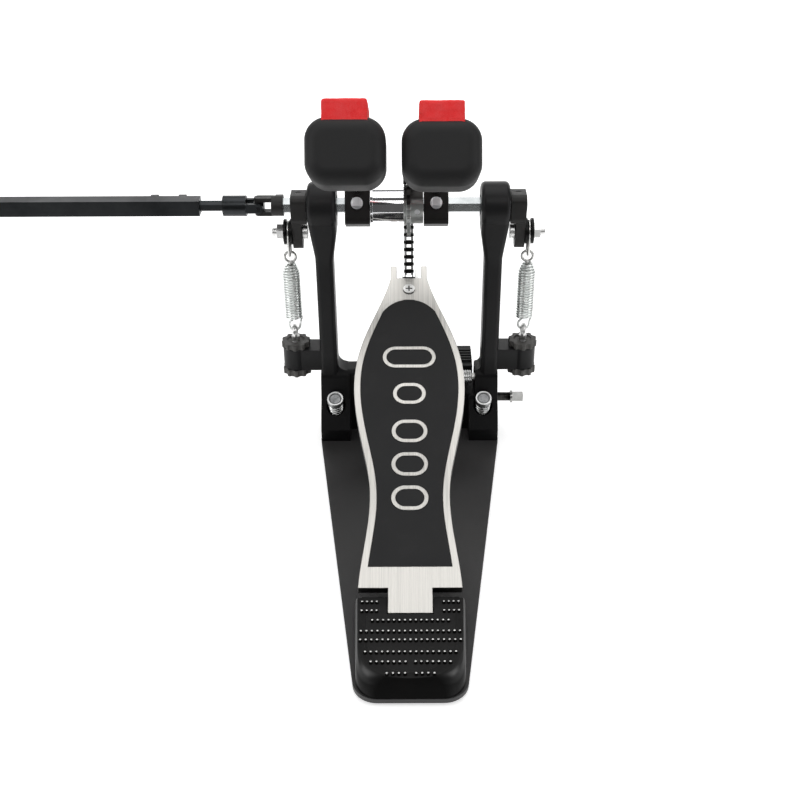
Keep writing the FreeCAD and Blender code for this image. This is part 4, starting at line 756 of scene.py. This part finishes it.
# Painted shade: the slot's faces and a ring round the head's edge take the black finish
for face in head.data.polygons:
    out = face.center.xy.length
    in_slot = out < slot_reach and face.center.z < slot_top
    face.material_index = int(in_slot or out > painted_shadow_ring)
bpy.ops.object.shade_smooth_by_angle(angle=math.radians(35))
head.data.transform(Matrix.Translation((0, screw_along, board_top)))
nut = round_bar(6, 4.8 * MM, 3.1 * MM, (0, screw_along, -4.65 * MM))
apply_change(nut, "BEVEL", width=0.4 * MM, segments=2)
shank = round_bar(24, 2.2 * MM, 14.2 * MM, (0, screw_along, 0.1 * MM))
apply_change(shank, "BEVEL", width=0.5 * MM, segments=2, limit_method="ANGLE")
toe_screw = joined("toe_screw", [head, nut, shank])
toe_screw.data.transform(BOARD)
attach(toe_screw, "footboard")
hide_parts("chain_screw")

# Axles: two hexagonal steel shafts end to end, bright plated, with turned journals and a sleeve between them.
# Hubs, rockers and sprocket are clamped on with key screws. The outer screws and the sprocket's top are dark.
steel = plated("steel", (0.5, 0.52, 0.525), (0.36, 0.38, 0.385),
               cloud=70.0, smooth=0.14, dull=0.26, depth=0.00001)
dress(steel, "right_shaft", "left_shaft")
dress(chrome, "centre_sleeve")
key_chrome, tree, shader, here = new_finish("key_chrome", Metallic=1.0)
across = add(tree, "SeparateXYZ", {0: here}).outputs[0]
across = add(tree, "Math", {0: across}, operation="ABSOLUTE")
outer = add(tree, "Math", {0: across.outputs[0], 1: 0.07}, operation="GREATER_THAN")
skin = plating_skin(tree, here, (0.92, 0.92, 0.93), (0.8, 0.8, 0.82), cloud=90.0, smooth=0.26, dull=0.4)
tone = mix(tree, outer.outputs[0], skin.outputs["Colour"], (0.02, 0.02, 0.02, 1))
metal_look(tree, shader, here, tone, skin.outputs["Roughness"])
dress(key_chrome, "right_key_screws", "left_key_screws")
sprocket_zinc, tree, shader, here = new_finish("sprocket_zinc", Metallic=1.0)
height = add(tree, "SeparateXYZ", {0: here}).outputs[2]
rise = add(tree, "MapRange", {"Value": height, "From Min": 0.193, "From Max": 0.199})
skin = plating_skin(tree, here, (0.56, 0.575, 0.565), (0.44, 0.455, 0.445), cloud=50.0, smooth=0.36, dull=0.5)
tone = mix(tree, rise.outputs[0], skin.outputs["Colour"], (0.03, 0.029, 0.028, 1))
metal_look(tree, shader, here, tone, skin.outputs["Roughness"])
dress(sprocket_zinc, "sprocket")
hub_coat = coated("hub_coat", (0.024, 0.023, 0.0224), (0.036, 0.0345, 0.0335), (0.05, 0.05, 0.05),
                  cloud=40.0, grain=1700.0, smooth=0.36, dull=0.5, depth=0.00004, specular=0.24, width=0.0006)
hub_black = coated("hub_black", (0.0125, 0.0116, 0.0112), (0.02, 0.0186, 0.018), (0.034, 0.033, 0.032),
                   cloud=40.0, grain=1700.0, smooth=0.4, dull=0.54, depth=0.00004, specular=0.16, width=0.0006)
dress(hub_black, "right_hub", "left_hub")
dress(hub_coat, "right_rocker", "left_rocker", "near_yoke", "end_yoke")

# Chain: quarter inch roller chain of blackened steel, oiled.
# Its upper links lie on the sprocket, and its run ends in a pin in the toe bracket.
chain_black = coated("chain_black", (0.009, 0.0085, 0.008), (0.016, 0.0152, 0.0145), (0.05, 0.048, 0.045),
                     cloud=400.0, grain=1900.0, smooth=0.38, dull=0.54, depth=0.00003,
                     specular=0.2, width=0.0002)
dress(chain_black, "chain_wrap", "chain_run")

# Beaters: a chromed rod, a moulded black head with round corners, and a block of pressed red felt.
# The felt sits in a slot of the head and stands out of it towards the drum.
dress(chrome, "right_beater_rod", "left_beater_rod")
head_black = coated("head_black", (0.0195, 0.0195, 0.0199), (0.0265, 0.0265, 0.027), (0.036, 0.036, 0.036),
                    cloud=30.0, grain=1900.0, smooth=0.52, dull=0.64, depth=0.00004,
                    specular=0.24, width=0.0006)
dress(head_black, "right_beater_head", "left_beater_head")

felt_red, tree, shader, here = new_finish("felt_red", Roughness=0.95, Specular_IOR_Level=0.12,
                                          Sheen_Weight=0.35, Sheen_Roughness=0.5,
                                          Sheen_Tint=(1.0, 0.45, 0.42, 1))
fibre = add(tree, "TexNoise", {"Vector": here, "Scale": 900.0, "Detail": 6.0, "Roughness": 0.7,
                               "Distortion": 1.6})
tuft = add(tree, "TexNoise", {"Vector": here, "Scale": 140.0, "Detail": 3.0})
mixed = add(tree, "Math", {0: fibre.outputs["Fac"], 1: 0.6}, operation="MULTIPLY")
mixed = add(tree, "Math", {0: tuft.outputs["Fac"], 1: 0.4, 2: mixed.outputs[0]}, operation="MULTIPLY_ADD")
share = add(tree, "MapRange", {"Value": mixed.outputs[0], "From Min": 0.36, "From Max": 0.64})
tone = mix(tree, share.outputs[0], (1.0, 0.034, 0.036, 1), (1.0, 0.085, 0.088, 1))
bump = add(tree, "Bump", {"Strength": 0.8, "Distance": 0.0005, "Height": mixed.outputs[0]})
tree.links.new(tone, shader.inputs["Base Color"])
tree.links.new(bump.outputs[0], shader.inputs["Normal"])

axle_height, rest_lean = 190 * MM, math.radians(60.6)
LEANT = Matrix.Translation((0, 0, axle_height)) @ Matrix.Rotation(rest_lean, 4, "X")
head_middle, head_deep, head_step = 10.4, 38.9, 1.05
felt_wide, felt_tall, felt_sunk, felt_proud, felt_drop = 26.4, 33.8, 9.9, 9.8, 20
front = head_middle - head_deep / 2 + head_step + head_deep
low, high = front - felt_sunk, front + felt_proud
fuzz = bpy.data.textures.new("felt_fuzz", "CLOUDS")
fuzz.noise_scale = 0.0035
for hand, across, reach in (("right", 19.4, 155.6), ("left", -36.2, 161.6)):
    bpy.ops.object.select_all(action="DESELECT")
    bpy.ops.mesh.primitive_cube_add(size=1, location=(0, 0, 0))
    felt = bpy.context.object
    felt.data.transform(Matrix.Translation((across * MM, (low + high) / 2 * MM, (reach - felt_drop) * MM))
                        @ Matrix.Diagonal((felt_wide * MM, (high - low) * MM, felt_tall * MM, 1)))
    bpy.ops.object.mode_set(mode="EDIT")
    bpy.ops.mesh.select_all(action="DESELECT")
    bpy.ops.object.mode_set(mode="OBJECT")
    for edge in felt.data.edges:
        edge.select = all(felt.data.vertices[i].co.y > (high - 1) * MM for i in edge.vertices)
    bpy.ops.object.mode_set(mode="EDIT")
    bpy.ops.mesh.bevel(offset=1.2 * MM, segments=3, profile=0.5)
    bpy.ops.object.mode_set(mode="OBJECT")
    apply_change(felt, "REMESH", mode="VOXEL", voxel_size=0.85 * MM)
    apply_change(felt, "SMOOTH", factor=0.5, iterations=4)
    apply_change(felt, "DISPLACE", texture=fuzz, texture_coords="LOCAL", strength=0.5 * MM, mid_level=0.6)
    bpy.ops.object.shade_smooth()
    felt.data.transform(LEANT)
    felt.name = f"{hand}_felt"
    felt.data.name = felt.name
    felt.data.materials.append(felt_red)
    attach(felt, f"{hand}_beater")
    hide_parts(f"{hand}_beater_felt")

# Rocker bolts: a bright bolt through the rocker's slot, with wide black washers each side of the link.
# The link is a bent wire on a small bearing, and a swivel eye hangs in it.
bolt_height, bolt_head = 0.17, 0.0062
for hand in ("right", "left"):
    made, tree, shader, here = new_finish(f"{hand}_washer_stack", Metallic=1.0)
    spot = add(tree, "SeparateXYZ", {0: here})
    drop = add(tree, "Math", {0: spot.outputs[2], 1: bolt_height}, operation="SUBTRACT")
    flat = add(tree, "CombineXYZ", {1: spot.outputs[1], 2: drop.outputs[0]})
    out = add(tree, "VectorMath", {0: flat.outputs[0]}, operation="LENGTH")
    black = add(tree, "Math", {0: out.outputs["Value"], 1: bolt_head}, operation="GREATER_THAN")
    skin = plating_skin(tree, here, (0.92, 0.92, 0.91), (0.78, 0.78, 0.77), cloud=120.0, smooth=0.34, dull=0.46)
    tone = mix(tree, black.outputs[0], skin.outputs["Colour"], (0.02, 0.02, 0.02, 1))
    metal_look(tree, shader, here, tone, skin.outputs["Roughness"], width=0.0003)
    dress(made, f"{hand}_rocker_bolt")
dress(zinc, "right_link", "left_link", "right_eye", "left_eye")

# Return springs: close-wound zinc-plated wire, drawn in at the top round the swivel eye.
# The lower end is bent into a hook that hangs in the eyebolt.
spring_zinc = plated("spring_zinc", (0.92, 0.945, 0.925), (0.78, 0.805, 0.79),
                     cloud=200.0, smooth=0.24, dull=0.36, depth=0.000008)
spring_x, hook, ring_z = 86.5, 4.2, 94.15
hook_from, hook_sweep, hook_steps = 105, 255, 14
HOOK_RISE = [(4.3, 0, 95.8), (4.55, 0, 97.3), (5.1, 0.1, 98.7), (5.45, 0.5, 99.8)]
coil_radius, body_z, body_rise, body_turns, coil_start = 5.65, 100.5, 37.9, 18.25, math.radians(12)
for hand, side in (("right", 1), ("left", -1)):
    spots = []
    for k in range(hook_steps + 1):
        angle = math.radians(hook_from + k * hook_sweep / hook_steps)
        spots.append(Vector((hook * math.cos(angle), 0, ring_z + hook * math.sin(angle))) * MM)
    spots += [Vector(p) * MM for p in HOOK_RISE]
    body = turns(coil_radius, body_rise, body_turns, first=coil_start)
    spots += [p + Vector((0, 0, body_z * MM)) for p in body]
    neck = turns(coil_radius, rise=6.2, count=3.0, first=coil_start + body_turns * 2 * math.pi, grow=-2.4)
    spots += [p + Vector((0, 0, (body_z + body_rise) * MM)) for p in neck[1:]]
    coil = wound_wire(f"{hand}_coil", spots, 0.86 * MM)
    across = side * spring_x * MM
    coil.data.transform(Matrix.Translation((across, 0, 0)))
    coil.data.materials.append(spring_zinc)
    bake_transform(coil)
    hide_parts(f"{hand}_spring")

# Spring tension: an eyebolt through the post's lug, with a lobed hand knob above and below.
# The bolt is zinc plated and threaded; the knobs are moulded in black nylon.
bolt_thread = threaded("bolt_thread", axis=2, low=0.04, high=0.0815, pitch=0.001, bright=(0.86, 0.86, 0.85),
                       dark=(0.14, 0.14, 0.14), deep=0.0003)
knob_black = coated("knob_black", (0.06, 0.058, 0.0545), (0.095, 0.091, 0.086), (0.13, 0.126, 0.12),
                    cloud=60.0, grain=1600.0, smooth=0.45, dull=0.65, depth=0.00009, specular=0.4, width=0.0006)
dress(bolt_thread, "right_eyebolt", "left_eyebolt")
dress(knob_black, "right_knobs", "left_knobs")

# Linkage: a telescopic shaft with a universal joint at each end, black plated.
# A hexagonal bar slides in a square tube, and two dark set screws hold its length.
tube_black = plated("tube_black", (0.05, 0.053, 0.056), (0.026, 0.0275, 0.029),
                    cloud=24.0, smooth=0.3, dull=0.44, depth=0.00001, width=0.0006)
joint_black = plated("joint_black", (0.034, 0.034, 0.036), (0.016, 0.016, 0.017),
                     cloud=60.0, smooth=0.26, dull=0.42, depth=0.00001, width=0.0005)
screw_black = plated("screw_black", (0.06, 0.06, 0.06), (0.03, 0.03, 0.03),
                     cloud=90.0, smooth=0.3, dull=0.45, depth=0.00001)
dress(tube_black, "outer_tube", "inner_shaft")
dress(joint_black, "near_cross", "far_cross")
dress(screw_black, "tube_screws", "end_screw")

bpy.context.view_layer.update()
